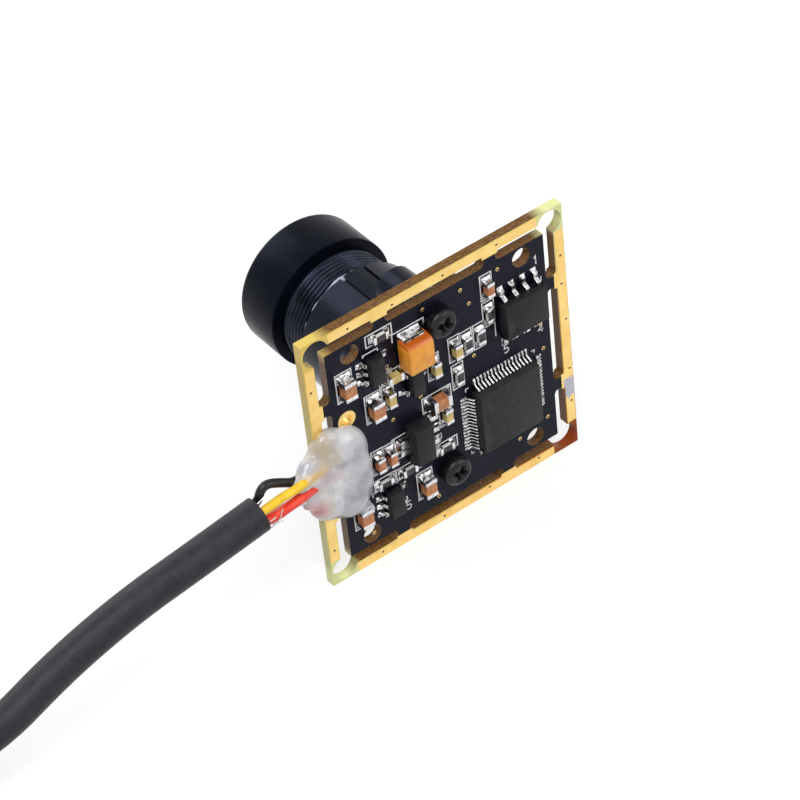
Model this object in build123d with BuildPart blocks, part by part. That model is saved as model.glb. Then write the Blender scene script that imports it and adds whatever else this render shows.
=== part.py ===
# Bare camera module: a square board with break-away edge rails, surface-mount parts
# on one face, and a screw-in lens in a moulded holder on the other.
# A cable is soldered to one edge under clear glue and ends in a plug.
# Millimetres. X runs along the board, Z is up and Y leaves the component face.
# The origin is the middle of the four mounting holes, on the component face.

import math
import os

from build123d import *

os.makedirs("parts", exist_ok=True)

# Circuit board
board_side = 29.0
board_thickness = 1.0
rail_width = 1.15
slot_width = 1.15
tab_offset = 6.15
tab_width = 1.25
corner_hole_radius = 1.35
corner_hole_inset = 1.5
mount_spacing_x = 19.2
mount_spacing_z = 21.9
mount_hole_radius = 1.0
copper = 0.05
copper_inset = 0.08
copper_tab_reach = 0.3
copper_tab_width = 1.75
copper_corner_gap = 2.9

# Plated hole beside the cable
eyelet_x = 10.76
eyelet_z = 3.95
eyelet_pad_radius = 0.95
eyelet_hole_radius = 0.5
eyelet_wall = 0.08

# Lens, holder and their screws. Depth is measured from the component face towards the lens.
lens_x = 0.15
lens_z = 0.45
barrel_radius = 5.95
barrel_rear_depth = 5.5
barrel_rear_bevel = 0.3
neck_groove_depth = 0.35
neck_groove_length = 0.4
neck_groove_slope = 0.2
head_radius = 6.85
head_rear_depth = 17.2
head_rear_bevel = 0.2
head_front_depth = 22.6
head_edge = 0.7
head_edge_slope = 0.6
holder_wall = 0.6
holder_depth = 13.0
holder_base_side = 14.4
holder_base_depth = 6.6
holder_base_corner = 1.6
holder_base_bevel = 0.35
holder_base_draft = 1
sensor_cavity_side = 10.4
sensor_cavity_depth = 4.4
thread_clearance = 0.05
groove_width = 0.36
groove_depth = 0.3
groove_spread = 10.5
boss_spacing = 18.0
boss_radius = 2.1
screw_shank_radius = 0.85
screw_hole_radius = 1.0
screw_head_radius = 1.5
screw_head_height = 1.5
screw_head_rounding = 0.4
screw_length = 5.0
screw_end_gap = 0.4
cross_length = 1.7
cross_width = 0.42
cross_depth = 0.7
cross_turn = 25

# Adhesive bead on the holder's rim
lock_glue_start = -15
lock_glue_arc = 115
lock_glue_rise = 0.5
lock_glue_bulge = 0.42
lock_glue_shoulder = 0.32
lock_glue_inset = 0.05

# Glass inside the lens
filter_radius = 3.9
filter_thickness = 0.3
filter_gap = 0.05
rear_lens_radius = 3.3
rear_lens_edge = 1.6
rear_lens_rise = 0.7
front_lens_radius = 5.25
front_lens_edge = 2.1
front_lens_rise = 2.0
front_lens_seat_depth = 17.5
front_lens_ledge = 0.6
stop_radius = 1.3
stop_thickness = 0.8
ring_outer_radius = 5.85
ring_inner_radius = 4.7
ring_thickness = 2.3
ring_bevel_width = 0.6
ring_bevel_depth = 0.9
ring_slot_width = 0.8
ring_slot_depth = 0.5
ring_slot_wall = 0.3
glass_clearance = 0.03

# Image sensor
sensor_side = 8.0
sensor_height = 1.0
sensor_glass_side = 6.4
sensor_glass_thickness = 0.5
sensor_glass_sunk = 0.2

# Surface-mount work
pad_thickness = 0.05
solder_reach = 0.4
lead_solder_reach = 0.32
solder_margin = 0.1
draft = 8
chip_step = 0.03
neck_share = 0.35
dimple_inset = 0.8
dimple_depth = 0.08

# Processor
processor_x = -6.2
processor_z = -4.43
processor_side = 7.0
processor_height = 1.5
processor_shoulder = 0.72
processor_span = 9.0
processor_pitch = 0.4
processor_side_leads = 16
processor_lead_width = 0.18
processor_lead_thickness = 0.13
processor_foot = 0.5
processor_dimple_radius = 0.4

# Memory chip
memory_x = -8.85
memory_z = 5.65
memory_breadth = 3.9
memory_length = 4.9
memory_height = 1.45
memory_shoulder = 0.7
memory_span = 6.2
memory_pitch = 1.27
memory_side_leads = 4
memory_lead_width = 0.42
memory_lead_thickness = 0.2
memory_foot = 0.6
memory_dimple_radius = 0.35

# Small packages with three or five leads
upper_regulator_place = (7.48, 8.17)
lower_regulator_place = (7.1, -8.2)
clock_switch_place = (3.43, 4.43)
small_length = 2.9
small_height = 1.15
small_shoulder = 0.5
small_pitch = 0.95
small_lead_width = 0.4
small_lead_thickness = 0.14
small_foot = 0.38
regulator_breadth = 1.6
regulator_span = 2.8
switch_breadth = 1.4
switch_span = 2.6

# Power regulator
power_x = 3.68
power_z = -2.67
power_breadth = 2.3
power_length = 4.4
power_height = 1.5
power_strip = 0.4
power_pitch = 1.45
power_lead_length = 1.2
power_lead_width = 0.48
power_tab_length = 0.9
power_tab_width = 1.7
power_solder_climb = 0.35

# Tantalum capacitor
tantalum_x = 3.3
tantalum_z = 8.1
tantalum_length = 3.2
tantalum_width = 2.8
tantalum_height = 1.95
tantalum_parting = 0.9
tantalum_draft = 4
tantalum_bevel = 0.3
terminal_thickness = 0.12
terminal_width = 2.2
terminal_rise = 1.0
terminal_foot = 0.8
terminal_solder_climb = 0.7

# Ceramic chips: length, width, height and end cap, then the middle and turn of each
large_chip = (2.0, 1.25, 1.05, 0.4)
small_chip = (1.6, 0.8, 0.8, 0.32)
flat_chip = (1.6, 0.8, 0.45, 0.3)
chip_solder_climb = 0.6
screw_room = 0.95
screw_side_z = lens_z - boss_spacing / 2 + screw_head_radius + screw_room + flat_chip[1] / 2
upright, along = 90, 0
capacitors = (
    (10.53, 7.78, upright, large_chip),
    (7.82, 3.63, upright, large_chip),
    (10.46, -7.86, upright, large_chip),
    (3.28, -8.7, upright, large_chip),
    (1.03, 0.42, along, large_chip),
    (6.16, 3.83, upright, small_chip),
    (5.5, 6.0, along, small_chip),
    (1.0, 4.3, upright, small_chip),
    (-5.5, 9.92, upright, small_chip),
    (-1.45, 5.0, upright, small_chip),
    (0.3, -1.75, upright, small_chip),
    (8.1, -2.9, upright, small_chip),
    (6.75, -2.97, upright, small_chip),
)
resistors = (
    (6.4, 11.2, along, flat_chip),
    (-5.5, 6.8, upright, flat_chip),
    (-2.8, 4.9, upright, flat_chip),
    (-4.27, 4.9, upright, flat_chip),
    (-1.53, 1.7, upright, flat_chip),
    (0.69, screw_side_z, along, flat_chip),
    (7.7, -5.7, along, flat_chip),
    (4.96, -5.8, along, flat_chip),
)

# Glue over the cable joints: its outline, then for each level the share of the outline's
# width there and the shift towards the cable
glue_height = 2.3
glue_drop = 0.7
glue_middle = (13.2, -1.1)
glue_outline = (
    (14.3, 4.5),
    (12.9, 4.3),
    (11.9, 3.2),
    (10.4, 2.4),
    (9.5, 0.6),
    (9.9, -2.4),
    (9.9, -4.8),
    (9.3, -7.1),
    (11.0, -7.2),
    (13.3, -6.9),
    (15.0, -5.8),
    (16.2, -3.4),
    (16.8, -0.9),
    (16.6, 0.8),
    (15.8, 2.1),
    (15.0, 3.3),
)
glue_levels = (
    (-glue_drop, 0.86, 0.0),
    (0.3 * glue_height, 1.0, 0.0),
    (0.75 * glue_height, 0.86, 0.35),
    (glue_height, 0.52, 0.9),
)
glued_from_x = 9.0

# Cable and its four cores
bend_share = 0.45
cable_diameter = 3.4
sheath_wall = 0.35
sheath_recess = 0.9
core_diameter = 0.85
red_core_diameter = 1.0
white_core_diameter = 0.62
core_pad_x = 12.5
core_pad_pitch = 1.7
core_pad_length = 1.5
core_pad_width = 1.1
core_pad_middle = 0.05
core_pad_count = 4

# The cores run from the cut sheath to their pads. The black one bulges upwards first.
black_route = [
    (22.65, 0.85, 0.95),
    (21.4, 0.85, 1.4),
    (21.0, 0.9, 2.6),
    (20.2, 0.9, 2.9),
    (18.9, 0.9, 2.15),
    (17.4, 0.8, 1.1),
    (16.2, 0.7, 2.0),
    (14.9, 0.5, 2.5),
    (12.4, 0.5, 2.6),
]
yellow_route = [
    (22.65, 1.95, 1.0),
    (20.0, 2.15, 1.75),
    (17.6, 1.95, 1.5),
    (15.9, 1.1, 1.0),
    (14.6, 0.55, 0.95),
    (12.4, 0.5, 0.9),
]
red_route = [
    (22.5, 1.76, 0.04),
    (20.9, 1.95, -0.2),
    (19.3, 2.1, 0.2),
    (17.4, 1.75, 0.0),
    (14.9, 0.65, -0.75),
    (12.4, 0.6, -0.8),
]
white_route = [
    (22.65, 0.8, -0.1),
    (20.0, 0.9, -0.3),
    (17.2, 0.85, -1.5),
    (14.9, 0.45, -2.4),
    (12.4, 0.4, -2.5),
]

# Put-away hank, its tie, and the plug
floor_z = -board_side / 2
hank_bend_radius = 10.2
hank_run = 25.0
hank_width = 10.7
hank_height = 9.3
hank_corner = 1.6
hank_lead_in = 10.5
hank_lead_out = 11.0
hank_top_clearance = 0.15
tie_thickness = 0.4
tie_width = 4.0
plug_length = 20.0
plug_width = 15.6
plug_height = 8.0
plug_corner = 2.2
plug_front_bevel = 0.5
plug_rear_bevel = 0.8
plug_relief_length = 9.0
plug_relief_radius = 2.7
plug_relief_wall = 0.4
grip_groove_count = 5
grip_groove_pitch = 2.2
grip_groove_width = 0.9
grip_groove_depth = 0.35
grip_groove_middle = 9.0
grip_groove_length = 9.6
shell_width = 12.0
shell_height = 4.5
shell_wall = 0.3
shell_length = 12.0
shell_sunk = 6.0
window_setback = 5.2
window_pitch = 5.4
window_length = 2.4
window_width = 2.2
tongue_thickness = 1.9
tongue_setback = 0.7
contact_count = 4
contact_pitch = 2.3
contact_width = 1.0
contact_thickness = 0.15
contact_setback = 1.2

# Where the sheath is cut, and the cable's route from there to the hank
cable_y = 1.4
hank_top_z = floor_z + tie_thickness + hank_height - hank_top_clearance
lead_in_z = hank_top_z - cable_diameter / 2
cable_route = [
    (21.8, cable_y, 0.6),
    (28.8, cable_y + 0.1, -0.3),
    (36.0, cable_y, -1.35),
    (43.5, cable_y - 0.2, -3.7),
    (50.5, cable_y, lead_in_z),
    (57.5, cable_y, lead_in_z),
]

inner_side = board_side - 2 * (rail_width + slot_width)
slot_line = inner_side / 2 + slot_width / 2
corner_hole_offset = board_side / 2 - corner_hole_inset
bore_radius = barrel_radius + thread_clearance
holder_radius = bore_radius + holder_wall
lens_axis = Axis((lens_x, 0, lens_z), (0, 1, 0))


def finish(builder, name):
    """Label a finished piece and write it."""
    builder.part.label = name
    export_step(builder.part, f"parts/{name}.step")
    return builder.part


def depth_plane(depth):
    """A plane across the lens axis, facing the lens side, at a depth behind the component face."""
    return Plane(origin=(lens_x, -depth, lens_z), x_dir=(1, 0, 0), z_dir=(0, -1, 0))


def seat(x, z, turn=0.0, lift=0.0):
    """A plane on the component face that faces out of the board, turned about its own normal."""
    angle = math.radians(turn)
    return Plane(origin=(x, lift, z), x_dir=(math.cos(angle), 0, math.sin(angle)), z_dir=(0, 1, 0))


def radial(points):
    """Turn (radius, depth) pairs into points of a half section beside the lens axis."""
    return [(lens_x + radius, -depth) for radius, depth in points]


section_plane = Plane(origin=(0, 0, lens_z), x_dir=(1, 0, 0), z_dir=(0, 0, 1))


def build_board():
    """The board with its routed slots, tabs, corner holes and fastening holes."""
    middle_slot = 2 * tab_offset - tab_width
    leg_start = tab_offset + tab_width / 2
    leg_end = slot_line + slot_width / 2
    with BuildPart() as board:
        with BuildSketch(Plane.XZ):
            Rectangle(board_side, board_side)
            with PolarLocations(slot_line, 4):
                SlotOverall(middle_slot, slot_width, rotation=90, mode=Mode.SUBTRACT)
            for sign in (-1, 1):
                with PolarLocations(0, 4):
                    with Locations((slot_line, sign * (leg_start + leg_end) / 2)):
                        SlotOverall(leg_end - leg_start, slot_width, rotation=90, mode=Mode.SUBTRACT)
            with GridLocations(2 * corner_hole_offset, 2 * corner_hole_offset, 2, 2):
                Circle(corner_hole_radius, mode=Mode.SUBTRACT)
            Rectangle(inner_side, inner_side)
            with GridLocations(mount_spacing_x, mount_spacing_z, 2, 2):
                Circle(mount_hole_radius, mode=Mode.SUBTRACT)
            with Locations((lens_x, lens_z)):
                with GridLocations(0, boss_spacing, 1, 2):
                    Circle(screw_hole_radius, mode=Mode.SUBTRACT)
            with Locations((eyelet_x, eyelet_z)):
                Circle(eyelet_hole_radius + eyelet_wall, mode=Mode.SUBTRACT)
        extrude(amount=board_thickness)
    return finish(board, "circuit_board")


def build_rails():
    """Gold-plated copper strips on the four edge rails, on both faces of the board."""
    strip_inner = board_side / 2 - rail_width
    strip_outer = board_side / 2 - copper_inset
    with BuildPart() as rails:
        for level in (-copper, board_thickness):
            with BuildSketch(Plane.XZ.offset(level)):
                with PolarLocations((strip_inner + copper_inset + strip_outer) / 2, 4):
                    Rectangle(strip_outer - strip_inner - copper_inset, board_side - 2 * copper_corner_gap)
                with PolarLocations(strip_inner, 4):
                    with GridLocations(0, 2 * tab_offset, 1, 2):
                        Rectangle(2 * copper_tab_reach, copper_tab_width)
                with GridLocations(2 * corner_hole_offset, 2 * corner_hole_offset, 2, 2):
                    Circle(corner_hole_radius + copper_inset, mode=Mode.SUBTRACT)
            extrude(amount=copper)
    return finish(rails, "edge_rails")


def build_eyelet():
    """The plated hole: a thin sleeve with a round pad on each face."""
    wall_radius = eyelet_hole_radius + eyelet_wall
    with BuildPart() as eyelet:
        with BuildSketch(Plane.XZ.offset(-copper)):
            with Locations((eyelet_x, eyelet_z)):
                Circle(wall_radius)
                Circle(eyelet_hole_radius, mode=Mode.SUBTRACT)
        extrude(amount=board_thickness + 2 * copper)
        for level in (-copper, board_thickness):
            with BuildSketch(Plane.XZ.offset(level)):
                with Locations((eyelet_x, eyelet_z)):
                    Circle(eyelet_pad_radius)
                    Circle(eyelet_hole_radius, mode=Mode.SUBTRACT)
            extrude(amount=copper)
    return finish(eyelet, "plated_eyelet")


def build_holder():
    """The moulded lens holder: square foot, two screw bosses and a ribbed threaded tower."""
    tower = holder_depth - board_thickness
    with BuildPart() as holder:
        with BuildSketch(depth_plane(board_thickness)):
            RectangleRounded(holder_base_side, holder_base_side, holder_base_corner)
            with GridLocations(0, boss_spacing, 1, 2):
                Circle(boss_radius)
            Rectangle(2 * boss_radius, boss_spacing)
        extrude(amount=holder_base_depth - board_thickness, taper=holder_base_draft)
        with BuildSketch(depth_plane(board_thickness)):
            Circle(holder_radius)
        extrude(amount=tower)
        foot_edges = holder.edges().filter_by(Plane.XZ).filter_by_position(
            Axis.Y, -holder_base_depth - 0.01, -holder_base_depth + 0.01
        )
        chamfer(foot_edges.filter_by(GeomType.LINE), length=holder_base_bevel)
        with BuildSketch(depth_plane(board_thickness)):
            Rectangle(sensor_cavity_side, sensor_cavity_side)
        extrude(amount=sensor_cavity_depth - board_thickness, mode=Mode.SUBTRACT)
        with BuildSketch(depth_plane(board_thickness)):
            Circle(bore_radius)
        extrude(amount=tower, mode=Mode.SUBTRACT)
        with BuildSketch(depth_plane(board_thickness)):
            with GridLocations(0, boss_spacing, 1, 2):
                Circle(screw_shank_radius)
        extrude(amount=screw_length, mode=Mode.SUBTRACT)
        for middle in (90, 270):
            for side in (-1, 1):
                angle = math.radians(middle + side * groove_spread)
                groove = Plane(
                    origin=(
                        lens_x + holder_radius * math.cos(angle),
                        -holder_depth,
                        lens_z + holder_radius * math.sin(angle),
                    ),
                    x_dir=(math.cos(angle), 0, math.sin(angle)),
                    z_dir=(0, 1, 0),
                )
                with BuildSketch(groove):
                    Rectangle(2 * groove_depth, groove_width)
                extrude(amount=holder_depth - holder_base_depth, mode=Mode.SUBTRACT)
    return finish(holder, "lens_holder")


def build_barrel():
    """The lens barrel, turned: threaded shank, wide head, and stepped seats for the glass."""
    ring_seat = front_lens_seat_depth + front_lens_edge
    filter_seat = barrel_rear_depth + filter_thickness
    rear_seat = filter_seat + rear_lens_rise + rear_lens_edge
    stop_end = rear_seat + stop_thickness
    cone_radius = front_lens_radius - front_lens_ledge
    groove_radius = barrel_radius - neck_groove_depth
    groove_start = head_rear_depth - neck_groove_length
    outline = radial(
        [
            (filter_radius + glass_clearance, barrel_rear_depth),
            (barrel_radius - barrel_rear_bevel, barrel_rear_depth),
            (barrel_radius, barrel_rear_depth + barrel_rear_bevel),
            (barrel_radius, groove_start - neck_groove_slope),
            (groove_radius, groove_start),
            (groove_radius, head_rear_depth),
            (head_radius - head_rear_bevel, head_rear_depth),
            (head_radius, head_rear_depth + head_rear_bevel),
            (head_radius, head_front_depth - head_edge),
            (head_radius - head_edge_slope * head_edge, head_front_depth),
            (ring_outer_radius + glass_clearance, head_front_depth),
            (ring_outer_radius + glass_clearance, ring_seat),
            (front_lens_radius + glass_clearance, ring_seat),
            (front_lens_radius + glass_clearance, front_lens_seat_depth),
            (cone_radius, front_lens_seat_depth),
            (stop_radius, stop_end),
            (stop_radius, rear_seat),
            (rear_lens_radius + glass_clearance, rear_seat),
            (rear_lens_radius + glass_clearance, filter_seat),
            (filter_radius + glass_clearance, filter_seat),
        ]
    )
    with BuildPart() as barrel:
        with BuildSketch(section_plane):
            with BuildLine():
                Polyline(*outline, close=True)
            make_face()
        revolve(axis=lens_axis)
    return finish(barrel, "lens_barrel")


def build_ring():
    """The threaded ring that holds the front glass, with two key slots."""
    ring_rear = front_lens_seat_depth + front_lens_edge
    ring_front = ring_rear + ring_thickness
    outline = radial(
        [
            (ring_inner_radius, ring_rear),
            (ring_outer_radius, ring_rear),
            (ring_outer_radius, ring_front),
            (ring_inner_radius + ring_bevel_width, ring_front),
            (ring_inner_radius, ring_front - ring_bevel_depth),
        ]
    )
    with BuildPart() as ring:
        with BuildSketch(section_plane):
            with BuildLine():
                Polyline(*outline, close=True)
            make_face()
        revolve(axis=lens_axis)
        with BuildSketch(depth_plane(ring_front)):
            with Locations((-ring_outer_radius, 0), (ring_outer_radius, 0)):
                Rectangle(2 * (ring_outer_radius - ring_inner_radius - ring_slot_wall), ring_slot_width)
        extrude(amount=-ring_slot_depth, mode=Mode.SUBTRACT)
    return finish(ring, "lens_retaining_ring")


def build_glass():
    """The front lens, the rear lens and the infrared filter behind them."""
    seat_depth = front_lens_seat_depth
    shoulder = seat_depth + front_lens_edge
    dome_radius = ring_inner_radius - glass_clearance
    with BuildPart() as front:
        with BuildSketch(section_plane):
            with BuildLine():
                rim = radial([(dome_radius, shoulder), (front_lens_radius, shoulder)])
                foot = radial([(front_lens_radius, seat_depth), (0, seat_depth)])
                tip = radial([(0, shoulder + front_lens_rise)])[0]
                sphere = (dome_radius**2 + front_lens_rise**2) / (2 * front_lens_rise)
                RadiusArc(tip, rim[0], -sphere)
                Polyline(rim[0], rim[1], foot[0], foot[1], tip)
            make_face()
        revolve(axis=lens_axis)
    finish(front, "front_lens")

    filter_seat = barrel_rear_depth + filter_thickness
    rear_seat = filter_seat + rear_lens_rise + rear_lens_edge
    shoulder = rear_seat - rear_lens_edge
    rise = rear_lens_rise - filter_gap
    with BuildPart() as rear:
        with BuildSketch(section_plane):
            with BuildLine():
                rim = radial([(rear_lens_radius, shoulder), (rear_lens_radius, rear_seat)])
                middle = radial([(0, rear_seat), (0, shoulder - rise)])
                sphere = (rear_lens_radius**2 + rise**2) / (2 * rise)
                RadiusArc(middle[1], rim[0], sphere)
                Polyline(rim[0], rim[1], middle[0], middle[1])
            make_face()
        revolve(axis=lens_axis)
    finish(rear, "rear_lens")

    with BuildPart() as infrared:
        with BuildSketch(depth_plane(barrel_rear_depth)):
            Circle(filter_radius)
        extrude(amount=filter_thickness)
    finish(infrared, "infrared_filter")


def build_lock_glue():
    """A bead of adhesive on the holder's rim that locks the lens at its focus."""
    section = Plane(origin=(lens_x, 0, lens_z), x_dir=(1, 0, 0), z_dir=(0, 0, 1))
    outer = (holder_radius - lock_glue_inset, -holder_depth)
    crown = (barrel_radius, -holder_depth - lock_glue_rise)
    with BuildPart() as bead:
        with BuildSketch(section.rotated((0, lock_glue_start, 0))):
            with BuildLine():
                Polyline(crown, (barrel_radius, -holder_depth), outer)
                ThreePointArc(
                    outer,
                    (barrel_radius + lock_glue_bulge, -holder_depth - lock_glue_shoulder),
                    crown,
                )
            make_face()
        revolve(axis=lens_axis, revolution_arc=-lock_glue_arc)
    return finish(bead, "lens_lock_glue")


def build_screws():
    """Two pan-head screws through the board into the holder's bosses."""
    grip = board_thickness + screw_length - screw_end_gap
    with BuildPart() as screws:
        with BuildSketch(depth_plane(0)):
            with GridLocations(0, boss_spacing, 1, 2):
                Circle(screw_head_radius)
        extrude(amount=-screw_head_height)
        top = screws.faces().sort_by(Axis.Y)[-2:]
        fillet(top.edges(), radius=screw_head_rounding)
        with BuildSketch(depth_plane(0)):
            with GridLocations(0, boss_spacing, 1, 2):
                Circle(screw_shank_radius)
        extrude(amount=grip)
        with BuildSketch(depth_plane(-screw_head_height)):
            with GridLocations(0, boss_spacing, 1, 2):
                Rectangle(cross_length, cross_width, rotation=cross_turn)
                Rectangle(cross_width, cross_length, rotation=cross_turn)
        extrude(amount=cross_depth, taper=12, mode=Mode.SUBTRACT)
    return finish(screws, "holder_screws")


def build_sensor():
    """The image sensor's package and the glass lid let into it."""
    top = board_thickness + sensor_height
    with BuildPart() as package:
        with BuildSketch(depth_plane(board_thickness)):
            Rectangle(sensor_side, sensor_side)
        extrude(amount=sensor_height)
        with BuildSketch(depth_plane(top)):
            Rectangle(sensor_glass_side, sensor_glass_side)
        extrude(amount=-sensor_glass_sunk, mode=Mode.SUBTRACT)
    finish(package, "image_sensor")
    with BuildPart() as lid:
        with BuildSketch(depth_plane(top - sensor_glass_sunk)):
            Rectangle(sensor_glass_side, sensor_glass_side)
        extrude(amount=sensor_glass_thickness)
    finish(lid, "sensor_glass")


solder_work = []


def solder_fillet(reach_in, toe, climb, width, places):
    """One soldered pad: thin under the metal, rising against its end."""
    with BuildPart() as joint:
        with BuildSketch(Plane.XZ):
            with BuildLine():
                Polyline(
                    (reach_in, 0),
                    (toe, 0),
                    (toe, pad_thickness),
                    (toe - 0.6 * (toe - climb[0]), pad_thickness + 0.3 * (climb[1] - pad_thickness)),
                    climb,
                    (climb[0], pad_thickness),
                    (reach_in, pad_thickness),
                    close=True,
                )
            make_face()
        extrude(amount=width / 2, both=True)
    solder_work.append((joint.part, places))


def moulded_body(name, base, length, width, height, shoulder, lead_thickness, dimple=None):
    """A moulded package with drafted sides and a straight band where its leads come out."""
    with BuildPart() as body:
        with BuildSketch(base.offset(shoulder)):
            Rectangle(length, width)
        extrude(amount=lead_thickness)
        with BuildSketch(base.offset(shoulder + lead_thickness)):
            Rectangle(length, width)
        extrude(amount=height - shoulder - lead_thickness, taper=draft)
        with BuildSketch(base.offset(shoulder)):
            Rectangle(length, width)
        extrude(amount=shoulder - 2 * pad_thickness, dir=-base.z_dir, taper=draft)
        if dimple:
            with BuildSketch(base.offset(height)):
                with Locations(dimple[:2]):
                    Circle(dimple[2])
            extrude(amount=-dimple_depth, mode=Mode.SUBTRACT)
    return finish(body, name)


def gull_leads(name, base, rows, half_body, tip, shoulder, foot, thickness, width):
    """Bent leads. Each row is a turn about the package's middle and the leads' offsets along it."""
    heel = tip - foot
    neck = half_body + neck_share * (heel - half_body)
    floor = pad_thickness
    with BuildPart() as lead:
        with BuildSketch(Plane.XZ):
            with BuildLine():
                Polyline(
                    (half_body, shoulder),
                    (neck, shoulder),
                    (heel, floor),
                    (tip, floor),
                    (tip, floor + thickness),
                    (heel + 0.7 * thickness, floor + thickness),
                    (neck + 0.7 * thickness, shoulder + thickness),
                    (half_body, shoulder + thickness),
                    close=True,
                )
            make_face()
        extrude(amount=width / 2, both=True)
    places = [
        base.location * Location((0, 0, 0), (0, 0, turn)) * Location((0, offset, 0))
        for turn, offsets in rows
        for offset in offsets
    ]
    with BuildPart() as leads:
        with Locations(*places):
            add(lead.part)
    finish(leads, name)
    solder_fillet(heel - 0.1, tip + lead_solder_reach, (tip, floor + thickness), width, places)


def spaced(count, pitch):
    """Offsets of evenly spaced copies about a middle."""
    return [(index - (count - 1) / 2) * pitch for index in range(count)]


def build_processor():
    """The square processor with sixteen leads on each side."""
    base = seat(processor_x, processor_z)
    half = processor_side / 2
    dimple = (half - dimple_inset, half - dimple_inset, processor_dimple_radius)
    shoulder, thickness = processor_shoulder, processor_lead_thickness
    moulded_body(
        "processor", base, processor_side, processor_side, processor_height, shoulder, thickness, dimple
    )
    side_leads = spaced(processor_side_leads, processor_pitch)
    rows = [(turn, side_leads) for turn in (0, 90, 180, 270)]
    tip = processor_span / 2
    gull_leads(
        "processor_leads", base, rows, half, tip, shoulder, processor_foot, thickness, processor_lead_width
    )


def build_memory():
    """The eight-lead memory chip."""
    base = seat(memory_x, memory_z, upright)
    half = memory_breadth / 2
    dimple = (dimple_inset - half, memory_length / 2 - dimple_inset, memory_dimple_radius)
    shoulder, thickness = memory_shoulder, memory_lead_thickness
    moulded_body(
        "memory_chip", base, memory_breadth, memory_length, memory_height, shoulder, thickness, dimple
    )
    side_leads = spaced(memory_side_leads, memory_pitch)
    rows = [(turn, side_leads) for turn in (0, 180)]
    tip = memory_span / 2
    gull_leads(
        "memory_chip_leads", base, rows, half, tip, shoulder, memory_foot, thickness, memory_lead_width
    )


def build_small_packages():
    """Three small three- and five-lead packages."""
    pair = spaced(2, 2 * small_pitch)
    five = [(0, spaced(3, small_pitch)), (180, pair)]
    three = [(0, pair), (180, [0])]
    packages = (
        ("upper_regulator", upper_regulator_place, five, regulator_breadth, regulator_span),
        ("lower_regulator", lower_regulator_place, five, regulator_breadth, regulator_span),
        ("clock_switch", clock_switch_place, three, switch_breadth, switch_span),
    )
    shoulder, thickness = small_shoulder, small_lead_thickness
    for name, place, rows, breadth, span in packages:
        base = seat(*place)
        half, tip = breadth / 2, span / 2
        moulded_body(name, base, breadth, small_length, small_height, shoulder, thickness)
        gull_leads(
            name + "_leads", base, rows, half, tip, shoulder, small_foot, thickness, small_lead_width
        )


def build_power_regulator():
    """The power regulator: three flat leads on one side and a wide tab on the other."""
    base = seat(power_x, power_z)
    half = power_breadth / 2
    lead_tip = half + power_lead_length
    tab_tip = half + power_tab_length
    with BuildPart() as body:
        with BuildSketch(base.offset(pad_thickness)):
            Rectangle(power_breadth, power_length)
        extrude(amount=power_strip)
        with BuildSketch(base.offset(pad_thickness + power_strip)):
            Rectangle(power_breadth, power_length)
        extrude(amount=power_height - power_strip, taper=draft)
    finish(body, "power_regulator")
    with BuildPart() as metal:
        with BuildSketch(base.offset(pad_thickness)):
            for offset in spaced(3, power_pitch):
                with Locations((-(half + lead_tip) / 2, offset)):
                    Rectangle(power_lead_length, power_lead_width)
            with Locations(((half + tab_tip) / 2, 0)):
                Rectangle(power_tab_length, power_tab_width)
        extrude(amount=power_strip)
    finish(metal, "power_regulator_leads")
    lead_places = [
        base.location * Location((0, 0, 0), (0, 0, 180)) * Location((0, offset, 0))
        for offset in spaced(3, power_pitch)
    ]
    lead_climb = (lead_tip, power_solder_climb)
    tab_climb = (tab_tip, power_solder_climb)
    lead_pad = power_lead_width + 2 * solder_margin
    tab_pad = power_tab_width + 2 * solder_margin
    solder_fillet(half + solder_margin, lead_tip + solder_reach, lead_climb, lead_pad, lead_places)
    solder_fillet(half + solder_margin, tab_tip + solder_reach, tab_climb, tab_pad, [base.location])


def build_tantalum():
    """The moulded tantalum capacitor with a folded terminal at each end."""
    base = seat(tantalum_x, tantalum_z, upright)
    half = tantalum_length / 2
    tip = half + terminal_thickness
    inner = half - terminal_foot
    sole = pad_thickness + terminal_thickness
    top = pad_thickness + terminal_rise
    with BuildPart() as body:
        with BuildSketch(base.offset(sole)):
            Rectangle(tantalum_length, tantalum_width)
        extrude(amount=tantalum_parting)
        with BuildSketch(base.offset(sole + tantalum_parting)):
            Rectangle(tantalum_length, tantalum_width)
        extrude(amount=tantalum_height - tantalum_parting - terminal_thickness, taper=tantalum_draft)
        upper = body.faces().sort_by(Axis.Y)[-1]
        chamfer(upper.edges().sort_by(Axis.Z)[-1], length=tantalum_bevel)
    finish(body, "tantalum_capacitor")
    with BuildPart() as terminal:
        with BuildSketch(Plane.XZ):
            with BuildLine():
                Polyline(
                    (inner, pad_thickness),
                    (tip, pad_thickness),
                    (tip, top),
                    (half, top),
                    (half, sole),
                    (inner, sole),
                    close=True,
                )
            make_face()
        extrude(amount=terminal_width / 2, both=True)
    ends = [base.location * Location((0, 0, 0), (0, 0, turn)) for turn in (0, 180)]
    with BuildPart() as terminals:
        with Locations(*ends):
            add(terminal.part)
    finish(terminals, "tantalum_terminals")
    solder_fillet(inner, tip + solder_reach, (tip, terminal_solder_climb), terminal_width, ends)


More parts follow.
